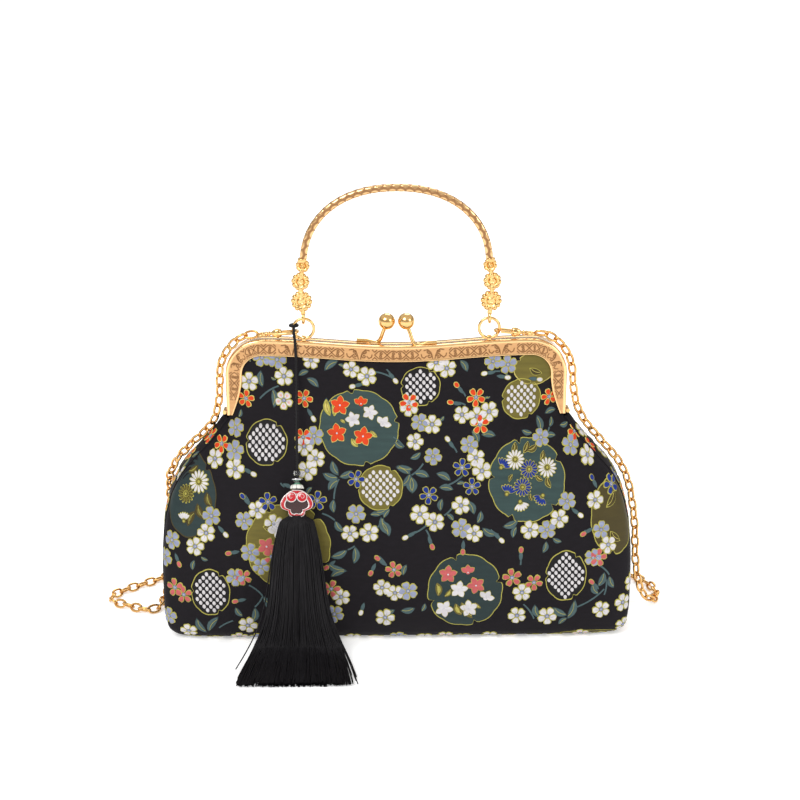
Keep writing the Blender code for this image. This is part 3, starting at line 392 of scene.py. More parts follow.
# %% Black silk
black_silk = Finish("black_silk", Roughness=0.5, Specular_IOR_Level=0.18)
silk_drift = black_silk.noise(black_silk.place(), 900.0, 2.0, (1.0, 1.0, 0.12))
black_silk.feed(black_silk.shader, {
    "Base Color": black_silk.blend(silk_drift, dye(7, 6, 8), dye(27, 25, 28)),
})
black_silk.bump(silk_drift, 0.3, 0.0002)

fine_cord = smooth_route(CORD_ROUTE, 14)
tassel_cord = make_piece("hanging_cord", plied(fine_cord, CORD_THICK, 2.6), black_silk)
LOOP_X, LOOP_Y, LOOP_Z, LOOP_R = -53.556, -2.7, 163.88, 1.9
loop_line = [Vector((LOOP_X + LOOP_R * math.cos(math.tau * k / 60),
                     LOOP_Y + LOOP_R * math.sin(math.tau * k / 60), LOOP_Z)) for k in range(60)]
tassel_loop = make_piece("cord_loop", drawn(bent_wire(loop_line, CORD_THICK, closed=True)), black_silk)
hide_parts("tassel_cord")
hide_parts("tassel_loop")

# %% [markdown]
# ## Bead, disc, cap and charm
# These sit on the cord one under the other, tilted with it where it leaves the
# swell of the bag. The bead is cut glass, the disc is turned silver, and the
# cap and the cloud charm are enamel laid between raised rims.

# %% Places on the tassel's axis
BEAD_DOWN, DISC_DOWN, CAP_DOWN, CHARM_DOWN = 5.2, 8.6, 11.7, 20.9
TASSEL_X = -51.8
TASSEL_TOP = Vector((TASSEL_X, -31.8, 98.2))
TASSEL_DOWN = Vector((0.0, -0.4454, -0.8954))


def on_tassel(distance):
    """A place on the tassel's axis whose Z looks back up it and whose Y looks out of the bag."""
    up = -TASSEL_DOWN
    out = Vector((0.0, -0.8954, 0.4454))
    side = out.cross(up)
    turn = Matrix((side, out, up)).transposed().to_4x4()
    return Matrix.Translation(TASSEL_TOP + TASSEL_DOWN * distance) @ turn


# %% Glass, silver and enamel
clear_glass = Finish("clear_glass", Roughness=0.03, IOR=1.5, Transmission_Weight=1.0,
                     Base_Color=dye(244, 248, 250))
clear_glass.bump(clear_glass.noise(clear_glass.place(), 500.0, 1.0), 0.05, 0.0002)

enamel = Finish("enamel", Coat_Weight=0.8, Coat_Roughness=0.05)
kiln_cloud = enamel.noise(enamel.place(), 420.0, 4.0)
enamel.feed(enamel.shader, {
    "Base Color": enamel.blend(kiln_cloud * 0.7, enamel.painted("glaze"),
                               enamel.blend(1.0, enamel.painted("glaze"), dye(190, 170, 170), "MULTIPLY")),
    "Roughness": 0.12 + kiln_cloud * 0.08,
})
enamel.bump(kiln_cloud, 0.12, 0.0003)
print("tassel finishes:", clear_glass.material.name, enamel.material.name)

# %% Bead and disc
facets = bmesh.new()
bmesh.ops.create_icosphere(facets, subdivisions=2, radius=2.0)
bmesh.ops.bevel(facets, geom=facets.edges[:], affect="EDGES", offset=0.08, offset_type="OFFSET", segments=1,
                profile=0.5, material=-1, clamp_overlap=True)
bmesh.ops.transform(facets, matrix=on_tassel(BEAD_DOWN), verts=facets.verts)
tassel_bead = make_piece("cut_bead", facets, clear_glass, crisp=20)
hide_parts("tassel_bead")

disc_shape = [(0.0, -1.1), (1.5, -1.1), (1.9, -0.75), (2.6, -0.55), (3.0, -0.25), (3.1, 0.0), (3.0, 0.25),
              (2.6, 0.55), (1.9, 0.75), (1.5, 1.1), (0.0, 1.1)]
tassel_disc = make_piece("silver_disc", drawn(turned(disc_shape, 48), on_tassel(DISC_DOWN)), silver,
                         crisp=50)
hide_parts("tassel_disc")


# %% Petal cap
def glazed(drawing, colour_at):
    """Paints a drawing's glaze: colour_at gives the colour at a point."""
    glaze = drawing.verts.layers.float_color.new("glaze")
    for vertex in drawing.verts:
        vertex[glaze] = (*colour_at(vertex.co), 1.0)


def cap_petal(spot):
    """Pinches the cap's skirt between its eight petals."""
    valley = abs(math.sin(math.atan2(spot.y, spot.x) * 4)) ** 0.5
    low = min(max((0.6 - spot.z) / 2.0, 0.0), 1.0)
    pull = 1 - 0.16 * low * (1 - valley)
    return Vector((spot.x * pull, spot.y * pull, spot.z))


cap_shape = [(0.0, 1.7), (1.0, 1.65), (1.5, 1.35), (1.7, 0.95), (2.3, 0.6), (3.1, 0.1), (3.55, -0.6),
             (3.7, -1.25), (3.45, -1.65), (2.8, -1.7), (0.0, -1.7)]
cap_drawing = drawn(turned(cap_shape, 96, cap_petal))


def cap_colour(spot):
    """White petals with green hearts and dark lines between them."""
    valley = abs(math.sin(math.atan2(spot.y, spot.x) * 4))
    reach = math.hypot(spot.x, spot.y)
    if valley < 0.25 and reach > 1.9:
        return dye(70, 84, 74)
    return dye(70, 142, 104) if 1.2 < reach < 2.7 else dye(236, 240, 232)


glazed(cap_drawing, cap_colour)
bmesh.ops.transform(cap_drawing, matrix=on_tassel(CAP_DOWN), verts=cap_drawing.verts)
tassel_cap = make_piece("petal_cap", cap_drawing, enamel, crisp=60)
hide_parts("tassel_cap")

# %% [markdown]
# The charm is a cloud with a broad upper part, two wide side lobes and two
# small lobes below. Insets would cross each other in its tight corners, so it
# is turned as a round button first, and then every ring is pushed out to the
# cloud's outline. The rims and the sunken middle stay clean relief that way.

# %% Cloud charm
CHARM_HALF_WIDE, CHARM_HALF_TALL, CHARM_THICK = 8.6, 7.2, 4.6
CHARM_OUTLINE = ((0, 0.98), (0.26, 0.95), (0.52, 0.80), (0.78, 0.52), (0.96, 0.16), (0.99, -0.14),
                 (0.88, -0.38), (0.66, -0.50), (0.52, -0.56), (0.50, -0.74), (0.38, -0.93),
                 (0.18, -0.99), (0, -0.93))
RED, DARK_RED, MILK, HEART = dye(196, 22, 34), dye(120, 18, 26), dye(226, 220, 216), dye(54, 17, 15)


def cloud_outline():
    """The outline as a closed run of points, in millimetres."""
    half = [(x * CHARM_HALF_WIDE, y * CHARM_HALF_TALL, 0.0) for x, y in CHARM_OUTLINE]
    full = half + [(-x, y, z) for x, y, z in reversed(half[1:-1])]
    return smooth_route(full + full[:1], 6)


cloud_edge = cloud_outline()
CLOUD_MIDDLE = Vector((0.0, -1.6, 0.0))


def cloud_reach(turn):
    """How far the cloud's edge is from its middle in one direction."""
    way = Vector((math.cos(turn), math.sin(turn), 0.0))
    reach = 0.0
    for start, end in zip(cloud_edge, cloud_edge[1:]):
        a, b = start - CLOUD_MIDDLE, end - CLOUD_MIDDLE
        side_a, side_b = way.cross(a).z, way.cross(b).z
        if side_a * side_b <= 0 and abs(side_a - side_b) > 1e-9:
            hit = a.lerp(b, side_a / (side_a - side_b))
            reach = max(reach, hit.dot(way))
    return reach


# share of the reach, height above the middle plane, colour of the ring outside it
CHARM_STEPS = ((0.0, 1.15, HEART), (0.34, 1.15, HEART), (0.66, 1.2, HEART), (0.69, 1.75, MILK),
               (0.745, 1.8, MILK), (0.765, 1.45, RED), (0.85, 1.6, RED), (0.915, 1.5, RED),
               (0.935, 1.95, MILK), (0.975, 1.85, MILK),
               (1.0, 1.35, DARK_RED), (1.0, 0.7, DARK_RED), (1.0, 0.0, DARK_RED))


def cloud_charm():
    """A turned button whose every ring is pushed out to the cloud's outline, both sides alike."""
    front = [(share, height) for share, height, _ in CHARM_STEPS]
    back = [(share, -height) for share, height in reversed(front[:-1])]
    drawing = bmesh.new()
    drawing.from_mesh(turned(front + back, 144))
    glaze = drawing.loops.layers.float_color.new("glaze")
    for face in drawing.faces:
        middle = face.calc_center_median()
        share = math.hypot(middle.x, middle.y)
        ring = sum(share > step[0] for step in CHARM_STEPS) - 1
        if share > 0.985:
            ring = len(CHARM_STEPS) - 1
        paint([face], glaze, CHARM_STEPS[max(ring, 0)][2])
    for vertex in drawing.verts:
        share = math.hypot(vertex.co.x, vertex.co.y)
        turn = math.atan2(vertex.co.y, vertex.co.x)
        reach = cloud_reach(turn) * share
        vertex.co = CLOUD_MIDDLE + Vector((reach * math.cos(turn), reach * math.sin(turn), vertex.co.z))
    bmesh.ops.recalc_face_normals(drawing, faces=drawing.faces)
    return drawing


SCROLL_X, SCROLL_Y, SCROLL_RIM, CURL = 2.72, 3.2, 2.22, 0.27
SCROLL_DOME = [(2.7, -0.6), (2.75, 0.05), (2.62, 0.22), (2.3, 0.22), (2.15, 0.02), (1.2, 0.22), (0.0, 0.3)]


def charm_scroll(side, out):
    """One of the two red scrolls on the charm's brow, a curled bead with a milk rim."""
    drawing = bmesh.new()
    glaze = drawing.loops.layers.float_color.new("glaze")
    _, dome = copy_in(drawing, turned(SCROLL_DOME, 40), Matrix.Translation((side * SCROLL_X, SCROLL_Y, 0.0)))
    for face in dome:
        middle = face.calc_center_median()
        reach = math.hypot(middle.x - side * SCROLL_X, middle.y - SCROLL_Y)
        paint([face], glaze, MILK if reach > SCROLL_RIM else RED)
    curl = [(side * (SCROLL_X + CURL * a * math.cos(a + 2.4)), SCROLL_Y + CURL * a * math.sin(a + 2.4), 0.24)
            for a in [1.2 + 0.16 * k for k in range(32)]]
    _, wire = copy_in(drawing, bent_wire(curl, 0.26, fineness=1))
    paint(wire, glaze, MILK)
    lift = Matrix.Translation((0, 0, CHARM_THICK / 2 - 0.3))
    bmesh.ops.transform(drawing, matrix=Matrix.Rotation(0 if out > 0 else math.pi, 4, "Y") @ lift,
                        verts=drawing.verts)
    return drawing


charm_drawing = cloud_charm()
for side in (-1, 1):
    for out in (-1, 1):
        copy_in(charm_drawing, as_part(charm_scroll(side, out)))
upright = Matrix.Rotation(math.pi / 2, 4, "X")
bmesh.ops.transform(charm_drawing, matrix=on_tassel(CHARM_DOWN) @ Matrix.Rotation(math.pi, 4, "Z") @ upright,
                    verts=charm_drawing.verts)
tassel_charm = make_piece("cloud_charm", charm_drawing, enamel, crisp=40)
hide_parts("tassel_charm")

# %% [markdown]
# ## Tassel skirt
# A tassel is a bundle of silk threads tied at the top. Each thread here is its
# own thin strand. It starts at its place in the tied head and keeps that share
# of the bundle all the way down, so the threads stay side by side, with a
# little drift, and open out where they touch the floor.

# %% Skirt of threads
# y, height, half width and half thickness of the bundle, from the head to the ends on the floor
SKIRT = (
    (-44.15, 74.5, 3.2, 1.7), (-44.45, 72.8, 5.0, 2.0), (-44.9, 71.4, 8.0, 3.6), (-46.4, 67.0, 9.4, 4.4),
    (-49.6, 57.0, 11.5, 4.8), (-52.0, 42.0, 13.4, 4.8), (-53.6, 27.0, 15.3, 4.5), (-55.6, 14.5, 18.6, 4.0),
    (-61.0, 5.6, 22.8, 3.0), (-73.0, 2.6, 26.0, 2.0), (-88.5, 1.5, 28.6, 1.1),
)


def skirt_at(share):
    """The bundle's row at a share of the way down, eased so that no fold shows."""
    place = share * (len(SKIRT) - 1)
    k = min(int(place), len(SKIRT) - 2)
    t = place - k
    four = (SKIRT[min(max(k + step, 0), len(SKIRT) - 1)] for step in (-1, 0, 1, 2))
    return [eased(*column, t) for column in zip(*four)]


THREADS, THREAD_THICK, THREAD_STEPS = 1650, 0.68, 14
FLOOR_TOUCH = 0.35  # the middle of a thread that lies on the floor


def thread_line(spin):
    """One thread's points. spin is the seeded source of its place and its drift."""
    turn, reach = spin.uniform(0, math.tau), math.sqrt(spin.random())
    across, through = reach * math.cos(turn), reach * math.sin(turn)
    drift, wave, phase = spin.gauss(0, 0.05), spin.uniform(0.0, 0.8), spin.uniform(0, math.tau)
    length = 1.0 - 0.14 * spin.random() ** 2
    points = []
    for k in range(THREAD_STEPS + 1):
        share = length * k / THREAD_STEPS
        y, z, wide, thick = skirt_at(share)
        x = TASSEL_X + wide * (across + drift * share * 1.5) + wave * math.sin(phase + 5 * share)
        slope = min(max((share - 0.68) / 0.2, 0.0), 1.0)
        lift = through * thick
        points.append(Vector((x, y + lift * (1 - slope), max(z + lift * slope, FLOOR_TOUCH))))
    return points


def skirt_drawing(count, thickness, seed):
    """Many threads in one drawing."""
    spin = random.Random(seed)
    skirt = bmesh.new()
    curve = bpy.data.curves.new("threads", "CURVE")
    curve.dimensions = "3D"
    curve.bevel_depth = thickness / 2
    curve.bevel_resolution = 0
    for _ in range(count):
        line = thread_line(spin)
        spline = curve.splines.new("POLY")
        spline.points.add(len(line) - 1)
        for knot, point in zip(spline.points, line):
            knot.co = (*point, 1.0)
    holder = bpy.data.objects.new("threads", curve)
    skirt.from_mesh(bpy.data.meshes.new_from_object(holder))
    bpy.data.objects.remove(holder)
    return skirt


tassel_skirt = make_piece("silk_threads", skirt_drawing(THREADS, THREAD_THICK, 7), black_silk)
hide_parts("tassel_skirt")

# %% [markdown]
# ## The cloth body
# Two panels are cut as bell shapes, and a long strip between them makes the
# sides and the base. A panel is drawn as a stack of rows. Each row says how far
# the edge is from the middle, how deep the cloth swells there and how full it
# is, and a smooth curve through the rows gives everything between them.

# %% Rows of a panel
# height, edge, swell width, depth at the edge, depth at the crown, squareness, fall, sag
PANEL_ROWS = (
    (0.0, 113.0, 113.0, 26.5, 31.5, 5.00, 0.20, 0.00),
    (2.2, 118.9, 118.9, 28.5, 37.0, 4.60, 0.22, 0.00),
    (7.0, 122.6, 122.6, 29.0, 41.0, 4.20, 0.24, 0.00),
    (16.1, 123.8, 123.8, 28.5, 43.2, 3.80, 0.26, 0.00),
    (38.1, 124.0, 124.0, 25.9, 43.3, 3.40, 0.30, 0.00),
    (58.9, 122.8, 122.8, 22.6, 40.7, 3.10, 0.34, 0.00),
    (73.9, 119.7, 119.7, 19.1, 37.0, 2.90, 0.39, 0.00),
    (84.9, 114.5, 114.5, 15.7, 33.3, 2.70, 0.45, 0.00),
    (94.7, 106.1, 106.1, 12.0, 29.2, 2.60, 0.52, 0.00),
    (104.0, 97.1, 97.1, 8.4, 24.8, 2.40, 0.63, 0.00),
    (110.9, 91.9, 91.9, 6.0, 21.4, 2.30, 0.75, 0.00),
    (115.5, 88.8, 87.0, 4.2, 19.2, 2.20, 0.90, 0.00),
    (119.4, 88.8, 84.5, 4.2, 17.6, 2.20, 0.95, 0.12),
    (127.1, 88.8, 82.0, 4.2, 13.9, 2.20, 1.05, 0.36),
    (136.1, 88.8, 80.6, 4.2, 9.6, 2.20, 1.10, 0.64),
    (143.2, 87.9, 77.5, 4.2, 6.1, 2.20, 1.10, 0.86),
    (147.7, 85.6, 75.0, 4.2, 4.2, 2.20, 1.00, 1.00),
    (155.3, 71.0, 71.0, 4.2, 4.2, 2.20, 1.00, 1.00),
)
ROW_HEIGHTS = [row[0] for row in PANEL_ROWS]
CLOTH_TOP = ROW_HEIGHTS[-1]
FRAME_DIP, DIP_REACH = 1.8, 71.0


def row_slopes(column):
    """The slope at each row that keeps the curve through a column free of bumps."""
    steps = [(b[column] - a[column]) / (b[0] - a[0]) for a, b in zip(PANEL_ROWS, PANEL_ROWS[1:])]
    inner = [0.0 if a * b <= 0 else 2 * a * b / (a + b) for a, b in zip(steps, steps[1:])]
    return [steps[0], *inner, steps[-1]]


SLOPES = [row_slopes(column) for column in range(8)]


def row_at(height):
    """All the numbers of the panel's row at any height."""
    k = min(bisect.bisect_right(ROW_HEIGHTS, height) - 1, len(ROW_HEIGHTS) - 2)
    gap = ROW_HEIGHTS[k + 1] - ROW_HEIGHTS[k]
    t = (height - ROW_HEIGHTS[k]) / gap
    return [PANEL_ROWS[k][c] * (1 + 2 * t) * (1 - t) ** 2 + SLOPES[c][k] * gap * t * (1 - t) ** 2
            + PANEL_ROWS[k + 1][c] * t * t * (3 - 2 * t) + SLOPES[c][k + 1] * gap * t * t * (t - 1)
            for c in range(8)]


def frame_dip(x):
    """How far the frame's top edge dips below its corners at x."""
    return FRAME_DIP * (1 + math.cos(math.pi * x / DIP_REACH)) if abs(x) < DIP_REACH else 0.0


def soft_swell(x, height):
    """The slow unevenness of stuffed cloth: it dies out at the edges and under the frame."""
    calm = min(1.0, max(0.0, (134 - height) / 30), max(0.0, (118 - abs(x)) / 20), height / 18)
    return calm * (0.5 * math.sin(x / 19 + 0.8) * math.sin(height / 17 + 0.4)
                   + 0.35 * math.sin(x / 9.5 + height / 26))


def panel_point(height, share):
    """A point of the front panel. share runs from -1 at its left edge to 1 at its right."""
    _, edge, swell, edge_depth, crown_depth, squareness, fall, sag = row_at(height)
    x = share * edge
    full = max(1 - (abs(x) / swell) ** squareness, 0.0)
    depth = edge_depth + (crown_depth - edge_depth) * full ** fall + soft_swell(x, height)
    return Vector((x, -depth, height - sag * frame_dip(x)))


print("row at 50 mm:", [round(value, 1) for value in row_at(50.0)])

# %% [markdown]
# ## A measured cloth
# The pattern has to be laid on the swelling cloth without stretching. So the
# panel is measured once: how many millimetres each point lies across from the
# middle and up from the base. After that any place of the flat pattern can be
# looked up on the curved panel.

# %% Measure the panel
PANEL_ACROSS, PANEL_UP = 200, 150


def evenly_up():
    """Heights whose distance up the middle of the panel is even, and that whole distance."""
    heights = [CLOTH_TOP * k / 900 for k in range(901)]
    run = run_along([panel_point(height, 0.0) for height in heights])
    even = []
    for k in range(PANEL_UP + 1):
        j, part = step_at(run, run[-1] * k / PANEL_UP)
        even.append(heights[j - 1] + (heights[j] - heights[j - 1]) * part)
    return even, run[-1]


PANEL_HEIGHTS, PANEL_LENGTH = evenly_up()
SHARES = [math.sin(math.pi / 2 * (2 * j / PANEL_ACROSS - 1)) for j in range(PANEL_ACROSS + 1)]
PANEL = [[panel_point(height, share) for share in SHARES] for height in PANEL_HEIGHTS]


def measured_across(row):
    """Distance along a row from its middle, negative to the left."""
    run = run_along(row)
    middle = run[len(run) // 2]
    return [value - middle for value in run]


def outward(grid):
    """The direction out of the cloth at each point of a measured grid."""
    last_row, last_column = len(grid) - 1, len(grid[0]) - 1
    return [[((grid[k][min(j + 1, last_column)] - grid[k][max(j - 1, 0)]).cross(
        grid[min(k + 1, last_row)][j] - grid[max(k - 1, 0)][j])).normalized()
        for j in range(last_column + 1)] for k in range(last_row + 1)]


class Measured:
    """A piece of cloth on which a place of the flat pattern can be looked up."""

    def __init__(self, grid, length):
        self.grid = grid
        self.length = length
        self.across = [measured_across(row) for row in grid]
        self.normal = outward(grid)

    def spot(self, across, up, lift):
        row = min(max(up / self.length, 0.0), 1.0) * (len(self.grid) - 1)
        k = min(int(row), len(self.grid) - 2)
        found = []
        for r in (k, k + 1):
            run = self.across[r]
            a = min(max(across, run[0]), run[-1])
            j = min(max(bisect.bisect_right(run, a) - 1, 0), len(run) - 2)
            part = (a - run[j]) / max(run[j + 1] - run[j], 1e-6)
            found.append(self.grid[r][j].lerp(self.grid[r][j + 1], part)
                         + self.normal[r][j].lerp(self.normal[r][j + 1], part).normalized() * lift)
        return found[0].lerp(found[1], row - k)


front_cloth = Measured(PANEL, PANEL_LENGTH)
back_grid = [[Vector((-spot.x, -spot.y, spot.z)) for spot in row] for row in PANEL]
back_cloth = Measured(back_grid, PANEL_LENGTH)
print("panel is", round(PANEL_LENGTH, 1), "mm tall along its middle and",
      round(2 * front_cloth.across[30][-1], 1), "mm wide low down")

# %% [markdown]
# ## The side strip
# One strip of the same brocade runs down the left side, under the base and up
# the right side. It bulges a little, and its edges meet the panels in a seam.

# %% Measure the strip
STRIP_TOP, BASE_HALF, STRIP_COLUMNS = 113.8, 113.0, 36
BASE_LIFT = 0.7  # the cloth of the base stays clear of the floor
side_heights = [STRIP_TOP * (1 - k / 60) ** 1.35 for k in range(60)]
side_path = [(-row_at(height)[1], height) for height in side_heights]
base_path = [(-BASE_HALF + 2 * BASE_HALF * k / 60, 0.0) for k in range(61)]
strip_path = side_path + base_path + [(-x, z) for x, z in reversed(side_path)]


def strip_row(place):
    """One row of the strip, from the front seam to the back seam."""
    x, z = strip_path[place]
    before = strip_path[max(place - 1, 0)]
    after = strip_path[min(place + 1, len(strip_path) - 1)]
    along = Vector((after[0] - before[0], 0.0, after[1] - before[1])).normalized()
    out = Vector((along.z, 0.0, -along.x))
    if z > 0:
        width = row_at(z)[3]
        bulge = min(2.3, z * 0.3 + 0.2)
    else:
        width = -panel_point(0.0, x / BASE_HALF).y
        bulge = 0.0
    share = [-1 + 2 * j / STRIP_COLUMNS for j in range(STRIP_COLUMNS + 1)]
    soft = 0.35 * math.sin(z / 8.5 + 1.0) * min(z / 20, 1.0)
    line = [Vector((x, s * width, z)) + out * (bulge + soft) * (1 - s * s) for s in share]
    for point in line:
        point.z = max(point.z, BASE_LIFT)
    return line


strip_grid = [strip_row(place) for place in range(len(strip_path))]
strip_run = run_along([row[STRIP_COLUMNS // 2] for row in strip_grid])
strip_length = strip_run[-1]


def even_strip(count):
    """The strip's rows again, an even distance apart."""
    rows = []
    for k in range(count + 1):
        j, part = step_at(strip_run, strip_length * k / count)
        rows.append([a.lerp(b, part) for a, b in zip(strip_grid[j - 1], strip_grid[j])])
    return rows


strip_cloth = Measured(even_strip(240), strip_length)
print("strip is", round(strip_length, 1), "mm long")

# %% [markdown]
# ## Cloth pieces
# Each cloth starts as a flat grid. Every corner of the grid moves to its
# measured place, and the same numbers become the map that the weave follows.

# %% Lay a grid as cloth
def cloth_sheet(cloth):
    """A sheet of cloth over a measured grid, with its weave map in metres."""
    ups, acrosses = len(cloth.grid) - 1, len(cloth.grid[0]) - 1
    sheet = bmesh.new()
    weave = sheet.loops.layers.uv.new("weave")
    bmesh.ops.create_grid(sheet, x_segments=acrosses, y_segments=ups, size=1.0)
    place = {vertex: (round((vertex.co.x + 1) / 2 * acrosses), round((vertex.co.y + 1) / 2 * ups))
             for vertex in sheet.verts}
    for vertex, (j, k) in place.items():
        vertex.co = cloth.grid[k][j]
    for face in sheet.faces:
        for loop in face.loops:
            j, k = place[loop.vert]
            loop[weave].uv = (cloth.across[k][j] * MM, cloth.length * k / ups * MM)
    return sheet


def line_with_wall(sheet, inward):
    """Gives a cloth sheet its lining: a wall of even thickness on the inner side."""
    sheet.normal_update()
    bmesh.ops.solidify(sheet, geom=sheet.faces[:], thickness=inward)
    return sheet


LINING = 0.9
for name, cloth, node in (("cloth_front", front_cloth, "bag_front"), ("cloth_back", back_cloth, "bag_back"),
                          ("cloth_strip", strip_cloth, "bag_gusset")):
    piece = make_piece(name, line_with_wall(cloth_sheet(cloth), LINING), ground)
    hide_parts(node)

# %% [markdown]
# ## Seams
# The panels and the strip are sewn edge to edge, and the folded edge stands up
# as a thin roll. The roll also hides the place where the two cloths meet.

# %% Seam rolls
SEAM_THICK, SEAM_LOW = 1.5, 0.75
seam_path = ([panel_point(height, -1.0) for height in side_heights if height > 0]
             + [panel_point(0.0, x / BASE_HALF) for x, _ in base_path]
             + [panel_point(height, 1.0) for height in reversed(side_heights) if height > 0])
seams = bmesh.new()
seams.loops.layers.uv.new("weave")
for turned_round in (1, -1):
    roll = [Vector((p.x, p.y * turned_round, max(p.z, SEAM_LOW))) for p in seam_path]
    copy_in(seams, bent_wire(roll, SEAM_THICK, fineness=1))
make_piece("cloth_seams", seams, ground)

# %% [markdown]
# ## The brocade pattern
# The pattern threads stand a little above the ground, so they are made as thin
# relief. Everything is drawn flat first, as on the loom: across from the middle
# of the panel and up from its foot, in millimetres. All of it is built from two
# kinds of small part that are reshaped each time: a round patch of thread in
# rings, and a narrow ribbon.

# %% Parts to stitch with
RAISE = 0.3  # how high a unit of a part's relief stands


def patch(rings, steps):
    """A round patch from (radius, rise) rings, numbered from the middle out."""
    drawing = bmesh.new()
    drawing.from_mesh(turned(rings, steps))
    for face in drawing.faces:
        reach = face.calc_center_median().xy.length
        face.material_index = sum(reach > radius for radius, _ in rings[1:])
        if face.normal.z < 0:
            face.normal_flip()
    return as_part(drawing)


def ribbon_part(steps):
    """A flat ribbon along X, one unit each way, highest along its middle."""
    drawing = bmesh.new()
    bmesh.ops.create_grid(drawing, x_segments=steps, y_segments=2, size=1.0)
    for vertex in drawing.verts:
        vertex.co.z = 0.9 if abs(vertex.co.y) < 0.5 else -0.2
    return as_part(drawing)


PETAL = patch([(0.0, 0.95), (0.36, 0.9), (0.76, 0.72), (1.0, -0.3)], 12)
LEAF = patch([(0.0, 0.62), (0.45, 0.6), (0.84, 0.45), (1.0, -0.3)], 16)
DOT = patch([(0.0, 0.9), (0.6, 0.75), (1.0, -0.2)], 8)
RIBBON = ribbon_part(8)
print("faces in a petal:", len(PETAL.polygons), "and in a ribbon:", len(RIBBON.polygons))

# %% Dyes of the threads
WHITE, GREY, SHADOW = dye(216, 212, 212), dye(150, 156, 182), dye(120, 130, 168)
ORANGE, SALMON, PINK, BLUE = dye(220, 66, 18), dye(196, 94, 94), dye(232, 180, 168), dye(14, 46, 132)
GOLD, PALE_GOLD, OLIVE, DARK_OLIVE = dye(176, 168, 76), dye(212, 196, 104), dye(110, 100, 42), dye(72, 62, 26)
TEAL, LEAF_TEAL, DEEP_TEAL, BLACK = dye(52, 72, 70), dye(72, 94, 96), dye(38, 54, 54), dye(13, 11, 14)


# %% Stitch one part
def stitch(pattern, part, shape, colours, under=0.0):
    """Adds a part to the flat pattern. shape moves its unit corners; colours go ring by ring."""
    thread = pattern.loops.layers.float_color["thread"]
    vertices, faces = copy_in(pattern, part)
    for vertex in vertices:
        x, y = shape(vertex.co.x, vertex.co.y)
        vertex.co = (x, y, under + RAISE * vertex.co.z)
    for face in faces:
        paint([face], thread, colours[min(face.material_index, len(colours) - 1)])
        face.material_index = 0


def petal_shape(at, turn, start, length, width, notch=0.0, taper=0.28):
    """A petal that leaves at in the direction turn, with a notch in its tip."""
    c, s = math.cos(turn), math.sin(turn)

    def shape(u, v):
        along = start + length * (u + 1) / 2 - notch * max(0.0, u) ** 4 * max(0.0, 1 - abs(v) * 2.5)
        side = width / 2 * v * (1 + taper * u)
        return at[0] + along * c - side * s, at[1] + along * s + side * c

    return shape


def strand_shape(start, end, side_of):
    """From start to end. side_of says how far to the side the unit place (u, v) goes."""
    dx, dy = end[0] - start[0], end[1] - start[1]
    long = max(math.hypot(dx, dy), 0.1)

    def shape(u, v):
        along, side = (u + 1) / 2, side_of(u, v)
        return start[0] + dx * along - dy / long * side, start[1] + dy * along + dx / long * side

    return shape


def leaf_shape(start, end, width, bend=0.0):
    """A pointed leaf from start to end, bent sideways by bend."""
    return strand_shape(start, end, lambda u, v: width / 2 * v * math.sqrt(max(1 - u * u, 0.0))
                        + bend * (1 - u * u))


def stem_shape(start, end, width, bend=0.0):
    """A ribbon from start to end, bent sideways by bend."""
    return strand_shape(start, end, lambda u, v: width / 2 * v + bend * (1 - u * u))


# %% [markdown]
# A blossom is five petals round a ring and a dot. A bellflower is five pointed
# petals on a round heart, and a chrysanthemum is many slim petals. Each takes
# its outline colour in its last ring, so that every petal is edged as the real
# ones are.

# %% Flowers
def dot(pattern, at, reach, colours, under):
    """A small round of thread."""
    stitch(pattern, DOT, lambda u, v: (at[0] + reach * u, at[1] + reach * v), colours, under)


def fan(turn, spread, petals):
    """The petals' directions: all round, or a fan when spread is less than a whole turn."""
    if spread == math.tau:
        return [turn + spread * (k / petals) for k in range(petals)]
    return [turn + spread * (k / (petals - 1) - 0.5) for k in range(petals)]


def blossom(pattern, at, dyes, turn, size=1.0, slim=False, under=0.12):
    """A five-petal blossom: dyes are its heart, its petals and its edge."""
    length, width = (4.5, 3.2) if slim else (4.5, 4.1)
    for k in range(5):
        way = turn + math.tau * k / 5
        shape = petal_shape(at, way, 0.75 * size, length * size, width * size, 0.35 * size)
        stitch(pattern, PETAL, shape, dyes, under + 0.012 * k)
        if not slim:
            c, s = math.cos(way), math.sin(way)
            vein = stem_shape((at[0] + 1.3 * size * c, at[1] + 1.3 * size * s),
                              (at[0] + 3.0 * size * c, at[1] + 3.0 * size * s), 0.5 * size)
            stitch(pattern, RIBBON, vein, [SHADOW], under + 0.10)
    for reach, colour, lift in ((1.15, SHADOW, 0.10), (0.78, WHITE, 0.14), (0.36, BLACK, 0.20)):
        dot(pattern, at, reach * size, [colour], under + lift)


def bellflower(pattern, at, dyes, turn, size=1.0, petals=5, spread=math.tau):
    """A pointed star, or a half-open one seen from the side when spread is small."""
    for k, way in enumerate(fan(turn, spread, petals)):
        tip = (at[0] + 5.4 * size * math.cos(way), at[1] + 5.4 * size * math.sin(way))
        stitch(pattern, LEAF, leaf_shape(at, tip, 3.9 * size), dyes, 0.22 + 0.01 * k)
    dot(pattern, at, 1.5 * size, [dyes[0]], 0.30)
    dot(pattern, at, 0.8 * size, [WHITE, SHADOW], 0.36)


def chrysanthemum(pattern, at, dyes, turn, size=1.0, petals=14, spread=math.tau):
    """Slim petals all round a gold heart, or in a fan when spread is small."""
    for k, way in enumerate(fan(turn, spread, petals)):
        shape = petal_shape(at, way, 1.1 * size, 4.2 * size, 1.5 * size, 0.0, 0.35)
        stitch(pattern, PETAL, shape, dyes, 0.22 + 0.008 * (k % 3))
    dot(pattern, at, 1.2 * size, [GOLD, OLIVE], 0.3)


